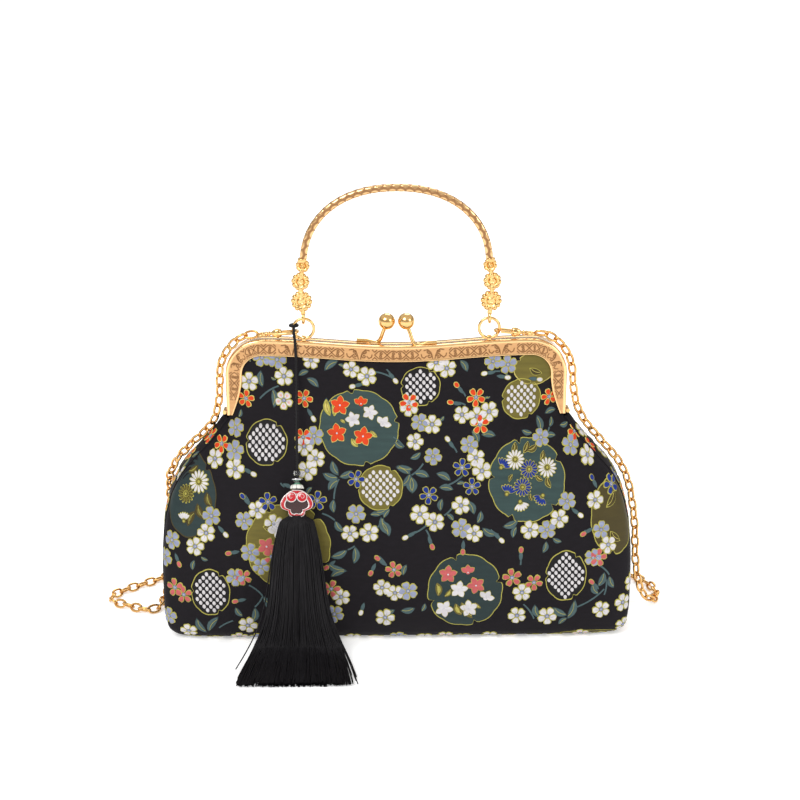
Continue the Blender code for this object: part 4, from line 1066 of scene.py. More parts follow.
# %% Leaves, stems and buds
def leaf(pattern, start, end, under=0.05, dyes=(LEAF_TEAL, LEAF_TEAL, DEEP_TEAL), rib=GOLD):
    """A leaf with a gold rib."""
    long = math.hypot(end[0] - start[0], end[1] - start[1])
    bend = 0.10 * long * (1 if (start[0] + end[1]) % 2 > 1 else -1)
    stitch(pattern, LEAF, leaf_shape(start, end, min(0.50 * long, 4.4), bend), dyes, under)
    near, far = ([a + (b - a) * share for a, b in zip(start, end)] for share in (0.15, 0.82))
    stitch(pattern, RIBBON, stem_shape(near, far, 0.42, bend * 0.85), [rib], under + 0.12)


def stem(pattern, start, end, under=0.02):
    """A plain stem."""
    long = math.hypot(end[0] - start[0], end[1] - start[1])
    stitch(pattern, RIBBON, stem_shape(start, end, 1.0, 0.06 * long), [LEAF_TEAL], under)


def bud(pattern, at, turn, dyes, size=1.0):
    """A closed bud with its green cup and the start of its stem."""
    c, s = math.cos(turn), math.sin(turn)
    foot = (at[0] - 6.0 * size * c, at[1] - 6.0 * size * s)
    cup = (at[0] + 0.2 * size * c, at[1] + 0.2 * size * s)
    stitch(pattern, LEAF, leaf_shape(foot, cup, 2.3 * size), (LEAF_TEAL, LEAF_TEAL, DEEP_TEAL), 0.06)
    stitch(pattern, PETAL, petal_shape(at, turn, -1.6 * size, 3.9 * size, 2.7 * size, 0.0, 0.1), dyes, 0.12)


# %% [markdown]
# A medallion is a filled round with a scalloped gold edge that hooks inwards at
# a few places. Some are plain and carry flowers, others are filled with small
# white lozenges in rows.

# %% Medallions
def medallion(pattern, at, half_wide, half_tall, fill, notches=4, scallops=12, turn=0.4, edge=GOLD):
    """The filled round itself, with the raised line of its edge."""
    line = 0.55 / half_wide
    rings = [(k / 9 * (1 - 2 * line), 0.10) for k in range(10)]
    part = patch(rings + [(1 - line, 0.12), (1 - line / 2, 0.62), (1.0, -0.3)], 108)

    def shape(u, v):
        way, reach = math.atan2(v, u), math.hypot(u, v)
        edge_reach = 0.975 + 0.030 * abs(math.sin(way * scallops / 2 + 0.6))
        for k in range(notches):
            gap = (way - turn - math.tau * k / notches + math.pi) % math.tau - math.pi
            edge_reach -= 0.15 * math.exp(-(gap * half_wide / 0.9) ** 2)
        reach *= 1 + (edge_reach - 1) * reach ** 3
        return at[0] + half_wide * reach * math.cos(way), at[1] + half_tall * reach * math.sin(way)

    stitch(pattern, part, shape, [fill] * 10 + [edge, edge, edge], 0.02)


def dotted_round(pattern, at, half_wide, half_tall, fill, gap=3.55):
    """A medallion filled with white lozenges."""
    medallion(pattern, at, half_wide, half_tall, fill, 3, 9, 1.0)
    for row in range(-7, 8):
        for column in range(-4, 5):
            x, y = (column + 0.5 * (row % 2)) * gap, row * gap * 0.56
            if (x / (half_wide - 1.9)) ** 2 + (y / (half_tall - 2.2)) ** 2 < 1:
                stitch(pattern, DOT, lambda u, v: (at[0] + x + 0.95 * u - 0.1 * v, at[1] + y + 1.22 * v),
                       [WHITE, WHITE], 0.10)


# %% [markdown]
# ## Where everything lies
# The lists give the pattern of one panel. Every place is in the cloth's own
# measure, across and up in millimetres, so it holds however the cloth swells.

# %% Places on the panel
WHITE_BLOSSOMS = (
    (-70.6, 157.4), (-62.8, 156.4), (-45.0, 156.7), (-59.2, 147.7), (-78.0, 144.3), (-24.0, 153.4),
    (-15.6, 150.1), (-86.0, 120.1), (-96.5, 104.3), (-85.6, 109.1), (-84.9, 100.5), (-48.6, 112.9),
    (-43.4, 118.2), (-42.3, 106.9), (-46.9, 100.7), (-97.2, 76.0), (-99.9, 67.2), (-105.9, 60.0),
    (-79.7, 74.6), (-72.9, 80.4), (-76.8, 58.0), (-64.1, 73.4), (-79.1, 16.7), (-110.8, 12.0),
    (-24.8, 68.3), (-14.9, 68.7), (-29.8, 33.2), (-33.6, 23.4), (-8.3, 38.8), (-1.6, 35.9), (-6.8, 21.5),
    (20.7, 157.1), (26.4, 153.5), (34.0, 129.1), (42.0, 127.8), (48.5, 129.8), (50.7, 155.4),
    (58.6, 153.3), (6.3, 133.7), (11.9, 125.7), (18.2, 124.6), (9.2, 115.8), (18.5, 107.9), (40.9, 107.0),
    (43.9, 100.2), (11.5, 77.9), (19.3, 73.7), (32.8, 82.4), (32.8, 70.4), (39.5, 67.7), (92.5, 110.2),
    (102.0, 104.3), (103.8, 82.7), (106.8, 67.2), (110.7, 59.0), (68.7, 69.2), (77.7, 68.9), (84.1, 74.4),
    (65.0, 35.1), (62.7, 21.8), (78.7, 20.9), (107.6, 23.6),
)
GREY_BLOSSOMS = (
    (-71.2, 50.7), (-21.6, 78.7), (5.2, 37.0), (37.4, 113.7), (76.2, 115.2), (88.5, 83.3), (-84.9, 44.4),
    (102.4, 52.9),
)
ORANGE_BLOSSOMS = (
    (-80.4, 135.0), (-48.8, 136.9), (-93.4, 111.6), (41.6, 137.4), (81.7, 135.0), (96.6, 116.2),
    (-49.2, 117.5), (43.5, 123.7), (6.3, 136.4),
)
SALMON_BLOSSOMS = (
    (-80.7, 44.5), (-65.4, 56.1), (-35.0, 37.9), (-2.1, 48.9), (59.6, 43.7), (71.2, 40.6), (105.1, 52.7),
    (-117.6, 36.8), (-112.6, 33.5),
)
BLUE_BLOSSOMS = (
    (-41.8, 85.4), (-67.2, 84.6), (-21.5, 96.7), (33.5, 102.0), (38.6, 92.1), (16.2, 87.7), (114.3, 89.0),
)
SALMON_BUDS = (
    (-87.8, 57.2), (-84.9, 30.9), (-36.9, 50.2), (-10.4, 54.9), (-14.0, 47.3), (64.1, 58.3),
    (102.2, 39.2), (97.4, 65.9), (-115.0, 50.2), (17.7, 61.1), (33.8, 58.3),
)
BLUE_BUDS = (
    (-80.3, 86.8), (102.9, 93.5),
)
WHITE_BUDS = (
    (-0.9, 148.2), (-22.9, 144.5), (-75.2, 98.5), (-89.8, 67.1), (-44.1, 127.2), (-19.4, 24.5),
    (26.4, 116.6), (46.5, 149.4), (58.1, 146.6), (75.4, 144.7), (4.2, 66.0), (53.6, 64.3), (95.3, 75.8),
    (-54.2, 91.9),
)
ORANGE_BUDS = ((31.6, 144.2), (28.4, 135.6))
PINK_BLOSSOMS = ((-59.6, 135.3),)
EDGE_BLOSSOMS = ((120.0, 26.0), (126.0, 36.0), (121.0, 12.0), (-122.0, 20.0), (-124.0, 52.0), (-119.0, 62.0))
LEAVES = (
    (-70.8, 141.2, -71.4, 150.7), (-65.5, 141.5, -65.3, 130.8), (-51.7, 148.3, -45.9, 151.2),
    (-47.5, 147.5, -40.8, 142.8), (-38.1, 151.7, -30.3, 157.9), (-34.0, 106.3, -30.4, 98.2),
    (-30.4, 97.1, -39.1, 99.6), (-30.4, 96.6, -36.1, 90.5), (-30.4, 97.6, -23.2, 101.2),
    (-33.0, 78.8, -33.0, 86.4), (-32.6, 75.2, -28.0, 69.0), (-14.6, 78.2, -8.5, 77.7),
    (-7.5, 76.1, -3.9, 81.2), (-8.5, 75.1, -4.5, 66.3), (-22.4, 61.7, -23.0, 51.7),
    (-26.0, 59.6, -35.3, 55.5), (-1.2, 102.7, 7.0, 98.5), (7.5, 97.5, 7.4, 88.3),
    (-37.4, 52.3, -26.1, 47.9), (-35.4, 44.7, -26.6, 48.5), (-70.7, 34.0, -66.8, 24.4),
    (-75.0, 27.7, -76.4, 18.4), (-85.4, 27.6, -81.5, 22.0), (-106.2, 21.3, -101.0, 10.7),
    (-100.4, 11.6, -94.0, 22.3), (-106.2, 53.0, -107.4, 47.2), (-103.0, 54.8, -98.8, 53.0),
    (-7.7, 24.0, -1.5, 26.3), (-44.2, 92.5, -47.3, 88.4), (-63.2, 145.7, -66.3, 147.1),
    (-85.0, 124.8, -83.5, 129.4), (-76.5, 154.9, -78.5, 157.1), (-30.9, 155.8, -27.2, 154.0),
    (33.2, 157.6, 37.2, 150.7), (45.8, 135.7, 48.4, 137.5), (21.7, 126.1, 24.7, 129.0),
    (-1.6, 116.3, 3.4, 112.3), (12.4, 110.2, 6.4, 106.7), (8.3, 101.2, -0.7, 103.3),
    (8.3, 99.2, 16.8, 97.1), (7.3, 98.2, 7.2, 88.7), (6.8, 99.2, 2.3, 92.3), (38.8, 121.1, 42.7, 114.5),
    (43.8, 118.5, 52.0, 117.6), (27.8, 95.0, 19.8, 99.1), (29.2, 90.5, 21.2, 91.6),
    (35.3, 93.9, 30.3, 93.5), (23.2, 86.1, 22.2, 79.1), (25.1, 78.1, 29.1, 74.1),
    (36.2, 85.0, 39.7, 77.4), (41.1, 72.9, 43.2, 79.9), (43.6, 70.9, 51.2, 66.7),
    (-8.8, 77.4, -4.4, 67.3), (-11.8, 79.4, -5.8, 80.4), (54.2, 71.2, 62.8, 74.5),
    (61.7, 71.5, 59.7, 65.0), (80.5, 64.4, 85.8, 62.1), (77.4, 63.0, 75.5, 56.4),
    (79.5, 126.4, 86.4, 128.0), (76.2, 117.5, 75.1, 126.4), (71.9, 117.8, 65.7, 119.7),
    (78.2, 115.4, 84.9, 115.7), (87.2, 120.2, 93.2, 121.1), (108.8, 44.7, 105.3, 36.4),
    (111.5, 42.3, 114.5, 34.9), (102.1, 38.3, 106.0, 32.0), (93.5, 30.1, 89.3, 18.4),
    (89.7, 20.8, 81.3, 26.1), (89.7, 19.6, 84.9, 15.3), (72.0, 28.0, 74.3, 20.1), (1.1, 25.6, 9.2, 27.2),
    (14.2, 30.0, 12.2, 25.0), (4.6, 51.8, 2.6, 45.5), (83.5, 125.0, 81.4, 119.8),
    (57.6, 149.3, 59.7, 145.2), (46.8, 136.6, 49.4, 137.4),
)
STEMS = (
    (-72.7, 135.4, -62.2, 142.6), (-33.0, 86.4, -30.4, 96.6), (-39.2, 78.8, -32.6, 75.2),
    (-7.5, 76.1, -12.1, 70.0), (-22.4, 61.7, -26.0, 59.6), (-77.8, 40.1, -70.7, 34.0),
    (-70.7, 34.0, -75.0, 27.7), (-94.4, 14.8, -86.8, 19.6), (-11.2, 152.6, -3.4, 150.1),
    (-92.8, 70.3, -89.7, 67.4), (-79.6, 100.6, -75.8, 98.8), (-79.3, 87.8, -76.6, 82.9),
    (-87.7, 57.6, -82.5, 58.3), (-116.2, 53.1, -115.1, 49.0), (-58.6, 92.3, -60.7, 94.3),
    (-2.1, 118.2, 3.5, 112.9), (-45.0, 128.6, -44.5, 125.7), (4.8, 66.7, 9.9, 68.8),
    (-5.3, 154.1, -1.8, 149.0), (46.4, 149.1, 54.5, 150.0), (32.5, 143.0, 36.1, 138.3),
    (29.9, 135.7, 36.0, 133.9), (13.4, 104.2, 7.3, 98.2), (25.6, 117.0, 31.0, 109.9),
    (33.8, 97.9, 25.2, 92.6), (28.2, 81.1, 24.1, 77.1), (15.1, 72.2, 6.1, 67.2), (14.6, 69.7, 17.1, 63.0),
    (34.1, 63.9, 33.6, 59.8), (63.3, 57.3, 63.9, 50.6), (81.4, 119.8, 78.2, 115.4),
    (90.8, 79.3, 94.4, 76.7), (102.8, 93.2, 104.7, 89.7), (105.5, 48.7, 111.5, 42.8),
    (109.0, 35.0, 93.7, 25.1), (65.9, 28.2, 71.8, 19.6), (110.0, 40.3, 109.1, 31.7),
    (-9.9, 56.1, -5.9, 50.9), (97.4, 67.1, 100.1, 67.4), (52.2, 67.2, 48.2, 69.8),
)
print("blossoms:", len(WHITE_BLOSSOMS) + len(GREY_BLOSSOMS) + len(ORANGE_BLOSSOMS) + len(SALMON_BLOSSOMS)
      + len(BLUE_BLOSSOMS), "leaves:", len(LEAVES))


# %% Draw the panel's pattern
def new_pattern():
    """An empty flat pattern that knows its thread colours and its weave map."""
    pattern = bmesh.new()
    pattern.loops.layers.float_color.new("thread")
    pattern.loops.layers.uv.new("weave")
    return pattern


WHITE_DYES, GREY_DYES = (WHITE, WHITE, GOLD), (GREY, GREY, GOLD)
ORANGE_DYES, SALMON_DYES = (ORANGE, ORANGE, PALE_GOLD), (SALMON, SALMON, GOLD)
BLUE_DYES, PINK_DYES = (BLUE, BLUE, GOLD), (PINK, WHITE, GOLD)


def sprigs(pattern, ends, dyes, rib):
    """Small leaves that grow inside a medallion."""
    for x0, y0, x1, y1 in ends:
        leaf(pattern, (x0, y0), (x1, y1), 0.12, dyes, rib)


def draw_rounds(pattern):
    """The medallions and what grows in them."""
    medallion(pattern, (-19.9, 123.2), 21.2, 20.0, TEAL, 4, 12, 0.2)
    for at, turn in (((-29.8, 134.3), 1.5), ((-31.4, 120.0), 1.7), ((-17.8, 118.6), 1.4)):
        bellflower(pattern, at, ORANGE_DYES, turn)
    bellflower(pattern, (-18.8, 135.4), ORANGE_DYES, 1.6, 0.8, 3, 1.9)
    for at, turn in (((-23.0, 127.3), 1.9), ((-14.1, 131.1), 1.2)):
        bellflower(pattern, at, WHITE_DYES, turn, 0.8)
    bellflower(pattern, (-7.6, 124.9), WHITE_DYES, 1.0, 0.9, 3, 2.2)
    sprigs(pattern, ((-34.5, 128, -37.0, 138), (-33.0, 128, -33.6, 136), (-27, 125, -30, 127),
                     (-24, 118, -20, 113), (-14, 122, -10, 118)), (PALE_GOLD, GOLD, TEAL), OLIVE)
    medallion(pattern, (67.5, 94.6), 20.6, 21.7, TEAL, 5, 12, 0.5)
    for at in ((61.5, 105.2), (78.4, 100.4)):
        chrysanthemum(pattern, at, WHITE_DYES, at[0])
    for at in ((68.7, 100.0), (65.0, 91.2)):
        chrysanthemum(pattern, at, BLUE_DYES, at[0], 0.95)
    for at, turn, dyes in (((53.9, 101.5), 0.9, BLUE_DYES), ((56.6, 88.0), 1.2, BLUE_DYES),
                           ((63.6, 84.0), -1.3, WHITE_DYES), ((75.6, 86.6), -2.2, BLUE_DYES)):
        chrysanthemum(pattern, at, dyes, turn, 1.0, 6, 1.7)
    sprigs(pattern, ((60, 108, 62, 114), (66, 108, 69, 114), (68, 109, 74, 112), (75, 104, 77, 109),
                     (78, 96, 80, 90), (72, 97, 76, 94), (60, 98, 58, 94), (69, 88, 70, 84)),
           (OLIVE, DARK_OLIVE, GOLD), PALE_GOLD)
    medallion(pattern, (35.1, 36.4), 20.0, 20.8, DEEP_TEAL, 4, 12, 0.3)
    for at, turn in (((26.1, 45.9), 1.5), ((40.8, 39.5), 0.7)):
        bellflower(pattern, at, SALMON_DYES, turn, 0.95)
    bellflower(pattern, (36.5, 46.9), SALMON_DYES, 1.6, 0.8, 3, 1.9)
    for at, turn in (((31.9, 37.3), 1.4), ((24.2, 26.4), 1.1), ((37.3, 26.3), 1.7)):
        bellflower(pattern, at, WHITE_DYES, turn, 0.95)
    bellflower(pattern, (46.0, 32.1), WHITE_DYES, 1.1, 0.9, 3, 2.2)
    sprigs(pattern, ((21, 33, 20, 42), (24, 33, 28, 38), (30, 30, 34, 22), (33, 31, 40, 20),
                     (40, 30, 44, 26)), (GOLD, OLIVE, DEEP_TEAL), PALE_GOLD)
    medallion(pattern, (-109.0, 84.5), 14.5, 20.5, DEEP_TEAL, 3, 10, 0.9, DARK_OLIVE)
    chrysanthemum(pattern, (-104.6, 92.5), WHITE_DYES, 0.3, 1.1)
    chrysanthemum(pattern, (-111.5, 86.0), (OLIVE, DARK_OLIVE, GOLD), 0.3, 0.9)
    chrysanthemum(pattern, (-112.0, 72.5), WHITE_DYES, 1.6, 0.9, 6, 1.5)
    sprigs(pattern, ((-100, 88, -97, 80), (-105, 82, -101, 74), (-112, 96, -106, 100),
                     (-106, 78, -110, 70)), (OLIVE, DARK_OLIVE, DARK_OLIVE), GOLD)
    medallion(pattern, (-57.0, 61.4), 22.4, 22.8, OLIVE, 5, 14, 0.8)
    for at, dyes in (((-62.0, 70.5), WHITE_DYES), ((-49.5, 66.5), GREY_DYES), ((-57.5, 54.0), WHITE_DYES),
                     ((-47.5, 53.5), SALMON_DYES), ((-68.0, 61.5), SALMON_DYES)):
        bellflower(pattern, at, dyes, at[0])
    medallion(pattern, (115.0, 73.0), 14.0, 20.0, DARK_OLIVE, 3, 12, 0.4)
    medallion(pattern, (72.5, 150.6), 11.0, 8.8, OLIVE, 3, 8, 0.4, PALE_GOLD)
    medallion(pattern, (101.0, 3.5), 20.0, 6.5, DARK_OLIVE, 3, 12, 0.4)
    sprigs(pattern, ((-62, 68, -70, 72), (-58, 72, -54, 78), (-52, 60, -44, 64), (-64, 60, -60, 52),
                     (-50, 52, -44, 48), (110, 78, 116, 86), (112, 66, 118, 60), (70, 151, 77, 148)),
           (DARK_OLIVE, DARK_OLIVE, GOLD), PALE_GOLD)
    for at, wide, tall, fill in (((12.4, 144.7), 10.7, 10.6, BLACK), ((-68.6, 114.1), 11.4, 11.6, BLACK),
                                 ((-98.2, 35.6), 10.6, 13.0, BLACK), ((88.1, 43.4), 11.2, 14.2, BLACK),
                                 ((-8.9, 92.0), 11.9, 11.9, OLIVE), ((66.2, 135.2), 11.0, 10.6, OLIVE)):
        dotted_round(pattern, at, wide, tall, fill)


def draw_sprays(pattern):
    """The loose flowers, leaves, stems and buds between the medallions."""
    spin = random.Random(21)
    for x0, y0, x1, y1 in STEMS:
        stem(pattern, (x0, y0), (x1, y1))
    for x0, y0, x1, y1 in LEAVES:
        leaf(pattern, (x0, y0), (x1, y1))
    for places, dyes, slim in ((WHITE_BLOSSOMS, WHITE_DYES, False), (GREY_BLOSSOMS, GREY_DYES, False),
                               (PINK_BLOSSOMS, PINK_DYES, False), (ORANGE_BLOSSOMS, ORANGE_DYES, True),
                               (SALMON_BLOSSOMS, SALMON_DYES, True), (BLUE_BLOSSOMS, BLUE_DYES, True)):
        for at in places:
            shown = GREY_DYES if dyes is WHITE_DYES and spin.random() < 0.22 else dyes
            blossom(pattern, at, shown, spin.uniform(0, math.tau), spin.uniform(0.92, 1.06), slim,
                    0.12 + 0.05 * spin.random())
    for at in EDGE_BLOSSOMS:
        blossom(pattern, at, WHITE_DYES if at[0] > 0 else GREY_DYES, spin.uniform(0, math.tau))
    for place in range(-9, 10):
        at = (place * 12.2 + spin.uniform(-2, 2), spin.uniform(1.5, 7.0))
        blossom(pattern, at, (GREY_DYES, WHITE_DYES, PINK_DYES)[place % 3], spin.uniform(0, 6), 0.95)
    for places, dyes in ((WHITE_BUDS, WHITE_DYES), (SALMON_BUDS, SALMON_DYES), (BLUE_BUDS, BLUE_DYES),
                         (ORANGE_BUDS, ORANGE_DYES)):
        for at in places:
            near = min(STEMS, key=lambda row: min(math.dist(at, row[:2]), math.dist(at, row[2:])))
            ends = sorted((near[:2], near[2:]), key=lambda end: math.dist(at, end))
            turn = math.atan2(at[1] - ends[1][1], at[0] - ends[1][0])
            bud(pattern, at, turn, dyes)


panel_pattern = new_pattern()
draw_rounds(panel_pattern)
draw_sprays(panel_pattern)
print("the panel's pattern has", len(panel_pattern.faces), "faces")


# %% Lay the pattern on the panels
FLOOR_GAP = 0.1  # no thread of the base reaches the floor


def lay(pattern, cloth):
    """Moves a flat pattern on to a measured cloth. Its flat places become the weave map."""
    weave = pattern.loops.layers.uv["weave"]
    for face in pattern.faces:
        for loop in face.loops:
            loop[weave].uv = (loop.vert.co.x * MM, loop.vert.co.y * MM)
    for vertex in pattern.verts:
        vertex.co = cloth.spot(*vertex.co)
        vertex.co.z = max(vertex.co.z, FLOOR_GAP)
    return pattern


make_piece("pattern_front", lay(panel_pattern.copy(), front_cloth), threads)
make_piece("pattern_back", lay(panel_pattern, back_cloth), threads)

# %% [markdown]
# The strip is cut from the same cloth, so it carries the same flowers. They are
# set out along it by a seeded draw that keeps them apart.

# %% Pattern of the strip
def strip_pattern():
    """Rounds, blossoms and leaves along the strip, none on top of another."""
    spin = random.Random(5)
    pattern, taken = new_pattern(), []

    def free_place(reach):
        for _ in range(60):
            at = (spin.uniform(-26, 26), spin.uniform(12, strip_length - 12))
            if all(math.dist(at, other) > reach + held for other, held in taken):
                taken.append((at, reach))
                return at
        return None

    for up, fill in ((70, BLACK), (176, OLIVE), (300, BLACK), (strip_length - 70, OLIVE)):
        taken.append(((0.0, up), 12))
        dotted_round(pattern, (0.0, up), 11.0, 11.0, fill)
    for _ in range(150):
        at = free_place(4.3)
        if at is None:
            continue
        dyes = spin.choice((WHITE_DYES, WHITE_DYES, GREY_DYES, ORANGE_DYES, SALMON_DYES, BLUE_DYES))
        slim = dyes in (ORANGE_DYES, SALMON_DYES, BLUE_DYES)
        blossom(pattern, at, dyes, spin.uniform(0, 6), 1.0, slim)
    for _ in range(90):
        at = free_place(2.6)
        if at is not None:
            way = spin.uniform(0, math.tau)
            reach = (4.0 * math.cos(way), 4.0 * math.sin(way))
            leaf(pattern, (at[0] - reach[0], at[1] - reach[1]), (at[0] + reach[0], at[1] + reach[1]))
    return pattern


make_piece("pattern_strip", lay(strip_pattern(), strip_cloth), threads)

# %% [markdown]
# ## The purse frame
# Each half of the frame is a channel pressed from sheet: a flat engraved face,
# a polished rolled rim and a lip that grips the cloth. The rim and the lip are
# also painted a lighter colour, a painted highlight. It is made as one fine grid:
# one way runs round the frame, the other way runs across the channel.
# The engraving is real relief, because the grid is fine enough to be cut.

# %% The line round the frame
LEG_X, LEG_FOOT, CORNER_Z, CORNER_R, BAND = 90.0, 115.5, 137.5, 19.0, 8.8
CORNER_X = LEG_X - CORNER_R
LEG_RUN, CORNER_RUN = CORNER_Z - LEG_FOOT, CORNER_R * math.pi / 2
TOP_RUN = 2 * CORNER_X
FRAME_RUN = 2 * (LEG_RUN + CORNER_RUN) + TOP_RUN
FRAME_TOP, LEG_WIDTH = CORNER_Z + CORNER_R, 3.4


def frame_line(run):
    """Outer edge of the frame, the way inwards from it, and the band's width there."""
    mirrored = run > FRAME_RUN / 2
    run = FRAME_RUN - run if mirrored else run
    if run < LEG_RUN:
        point, inward = (-LEG_X, LEG_FOOT + run), (1.0, 0.0)
        width = LEG_WIDTH + (BAND - LEG_WIDTH) * math.sin(math.pi / 2 * run / LEG_RUN)
    elif run < LEG_RUN + CORNER_RUN:
        turn = (run - LEG_RUN) / CORNER_R
        inward = (math.cos(turn), -math.sin(turn))
        point = (-CORNER_X - CORNER_R * math.cos(turn), CORNER_Z + CORNER_R * math.sin(turn))
        width = BAND
    else:
        x = -CORNER_X + (run - LEG_RUN - CORNER_RUN)
        point, inward, width = (x, FRAME_TOP - frame_dip(x)), (0.0, -1.0), BAND
    if mirrored:
        point, inward = (-point[0], point[1]), (-inward[0], inward[1])
    return point, inward, width


print("frame line is", round(FRAME_RUN, 1), "mm long")

# %% [markdown]
# The engraving repeats every 35.5 mm: a pair of waving stems that cross to make
# lozenges with a curl in each, then two scrolls back to back. The scroll lines
# are kept as short steps, and a cut is as deep as its line is near.

# %% The engraver's lines
UNIT = 35.5


def spiral(cx, cy, start, turns, inner, outer, hand):
    """A curl of the engraver, as points."""
    steps = 16
    curl = []
    for k in range(steps + 1):
        reach, turn = inner + (outer - inner) * k / steps, start + hand * math.tau * turns * k / steps
        curl.append((cx + reach * math.cos(turn), cy + reach * math.sin(turn)))
    return curl


def engraver_lines():
    """The lines of one repeat: along it from 0 to UNIT, and across the band from -3 to 3."""
    lines = []
    for hand in (1, -1):
        lines.append([(k * 0.5, hand * 2.3 * math.sin(math.tau * k * 0.5 / 13.0)) for k in range(40)])
        for place in (3.25, 9.75, 16.25):
            lines.append(spiral(place, hand * 0.9, math.pi / 2, 1.1, 0.2, 0.9, hand))
        for place in (0.0, 6.5, 13.0, 19.5):
            lines.append([(place - 1.2, hand * 2.7), (place, hand * 1.5), (place + 1.2, hand * 2.7)])
        middle = 27.5
        lines.append(spiral(middle + hand * 2.3, 1.0, 0.0, 1.3, 0.25, 1.5, hand))
        lines.append(spiral(middle + hand * 2.6, -1.3, math.pi, 1.2, 0.2, 1.1, -hand))
        lines.append([(middle + hand * 0.6, 2.6), (middle + hand * 1.0, 0.6), (middle + hand * 1.6, -1.0),
                      (middle + hand * 3.2, -2.6), (middle + hand * 5.2, -2.2)])
        lines.append([(middle + hand * 3.9, 1.0), (middle + hand * 5.0, 2.2), (middle + hand * 6.3, 1.4),
                      (middle + hand * 6.6, 0.0)])
    return lines


lines_by_place = {}
for line in engraver_lines():
    for a, b in zip(line, line[1:]):
        for column in range(int(min(a[0], b[0]) - 1), int(max(a[0], b[0]) + 2)):
            lines_by_place.setdefault(column % int(UNIT), []).append((a, b))


def distance_to(a, b, x, y):
    """How far the point (x, y) is from the short line from a to b."""
    dx, dy = b[0] - a[0], b[1] - a[1]
    t = min(max(((x - a[0]) * dx + (y - a[1]) * dy) / max(dx * dx + dy * dy, 1e-9), 0.0), 1.0)
    return math.hypot(x - a[0] - dx * t, y - a[1] - dy * t)


def cut_depth(run, across):
    """How deep the engraver cut, from 0 to 1, at a place on the band."""
    place = (abs(run - FRAME_RUN / 2) + 8.0) % UNIT
    near = [distance_to(a, b, place, across) for a, b in lines_by_place.get(int(place), ())]
    return max(0.0, 1.0 - min(near, default=9.0) / 0.42)


print("lines in one repeat:", len(engraver_lines()))

# %% [markdown]
# Across the channel the grid starts at the parting line between the halves,
# goes over the rolled rim, down the face and round the inner lip.

# %% One half of the frame
RIM_STEPS = ((0.0, 0.15), (0.0, 1.6), (0.0, 3.2), (0.02, 4.3), (0.25, 4.95), (0.65, 5.3), (1.05, 5.4),
             (1.45, 5.34), (1.7, 5.16))
LIP_STEPS = ((-0.95, 5.16), (-0.75, 5.3), (-0.45, 5.34), (-0.15, 5.1), (0.0, 4.6), (0.0, 4.25))
FACE_STEPS, ROUND_STEPS = 30, 1000
FACE_DEEP, CUT_DEEP, SHEET_METAL = 5.16, 0.16, 0.5
FACE_START, FACE_END = 1.7, 0.95  # where the flat face starts from the rim and ends before the lip


def channel_point(run, step):
    """A point of the channel's skin, the depth of its cut, and its polish, which also paints a lighter colour
    on it as a highlight.
    """
    point, inward, width = frame_line(run)
    cut, bright = 0.0, 0.0
    if step < len(RIM_STEPS):
        inset, deep = RIM_STEPS[step]
        # bright is the share of polish: less rough, and painted lighter as a highlight on the rim.
        bright = 1.0 if step < 8 else 0.4
    elif step < len(RIM_STEPS) + FACE_STEPS:
        share = (step - len(RIM_STEPS) + 1) / (FACE_STEPS + 1)
        inset = FACE_START + (width - FACE_END - FACE_START) * share
        cut = cut_depth(run, (share - 0.5) * (BAND - 2.4)) if width > 6.5 else 0.0
        deep = FACE_DEEP - CUT_DEEP * cut
    else:
        inset, deep = LIP_STEPS[step - len(RIM_STEPS) - FACE_STEPS]
        inset += width
        # The inner lip is polished too, and painted lighter as a highlight.
        bright = 0.8
    return Vector((point[0] + inward[0] * inset, -deep, point[1] + inward[1] * inset)), cut, bright


def frame_half(turned_round):
    """The channel of one half. The back one is the front one turned round."""
    across = len(RIM_STEPS) + FACE_STEPS + len(LIP_STEPS) - 1
    half = bmesh.new()
    cut_marks = half.verts.layers.float.new("cut")
    polish_and_highlight_marks = half.verts.layers.float.new("polish_and_highlight")
    bmesh.ops.create_grid(half, x_segments=ROUND_STEPS, y_segments=across, size=1.0)
    for vertex in half.verts:
        run = (vertex.co.x + 1) / 2 * FRAME_RUN
        step = round((1 - vertex.co.y) / 2 * across)
        vertex.co, vertex[cut_marks], vertex[polish_and_highlight_marks] = channel_point(run, step)
        vertex.co.xy *= turned_round
    half.normal_update()
    bmesh.ops.solidify(half, geom=half.faces[:], thickness=SHEET_METAL)
    return half


for side, turned_round in (("front", 1), ("back", -1)):
    piece = make_piece("purse_frame_" + side, frame_half(turned_round), satin_gold)
    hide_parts("frame_" + side)
for name in ("leg_hinge_left", "leg_hinge_right"):
    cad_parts[name].data.materials.clear()
    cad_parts[name].data.materials.append(polished_gold.material)

# %% [markdown]
# ## Kiss lock
# Two balls on bent stems pass over each other with a click. Each stem runs
# down to a foot that lies along the top of its half of the frame.

# %% Balls and stems
BALL_X, BALL_Z, BALL_R, LOCK_WIRE, FOOT_Y = 5.1, 165.1, 4.45, 2.1, 2.7
# across from the middle, share of the foot's distance from the parting line, rise above the frame
STEM_BEND = ((11.6, 1.0, -0.2), (9.6, 1.0, 0.35), (8.2, 0.8, 2.4), (7.0, 0.5, 6.0), (5.8, 0.15, 9.0))


def lock_ball(hand):
    """A ball, its bent stem and the foot that is brazed on the frame."""
    foot_y, foot_z = -hand * FOOT_Y, FRAME_TOP - frame_dip(14.0)
    foot = [(hand * x, foot_y, FRAME_TOP - frame_dip(x) + 0.75) for x in (21.0, 16.0)]
    bend = [(hand * x, share * foot_y, foot_z + rise) for x, share, rise in STEM_BEND]
    route = smooth_route([*foot, *bend, (hand * BALL_X, 0.0, BALL_Z)], 8)
    drawing = drawn(bent_wire(route, LOCK_WIRE, fineness=4))
    ball = [(BALL_R * math.sin(math.pi * k / 24), -BALL_R * math.cos(math.pi * k / 24)) for k in range(25)]
    ball[0], ball[-1] = (0.0, -BALL_R), (0.0, BALL_R)
    copy_in(drawing, turned(ball, 48), Matrix.Translation((hand * BALL_X, 0.0, BALL_Z)))
    return drawing


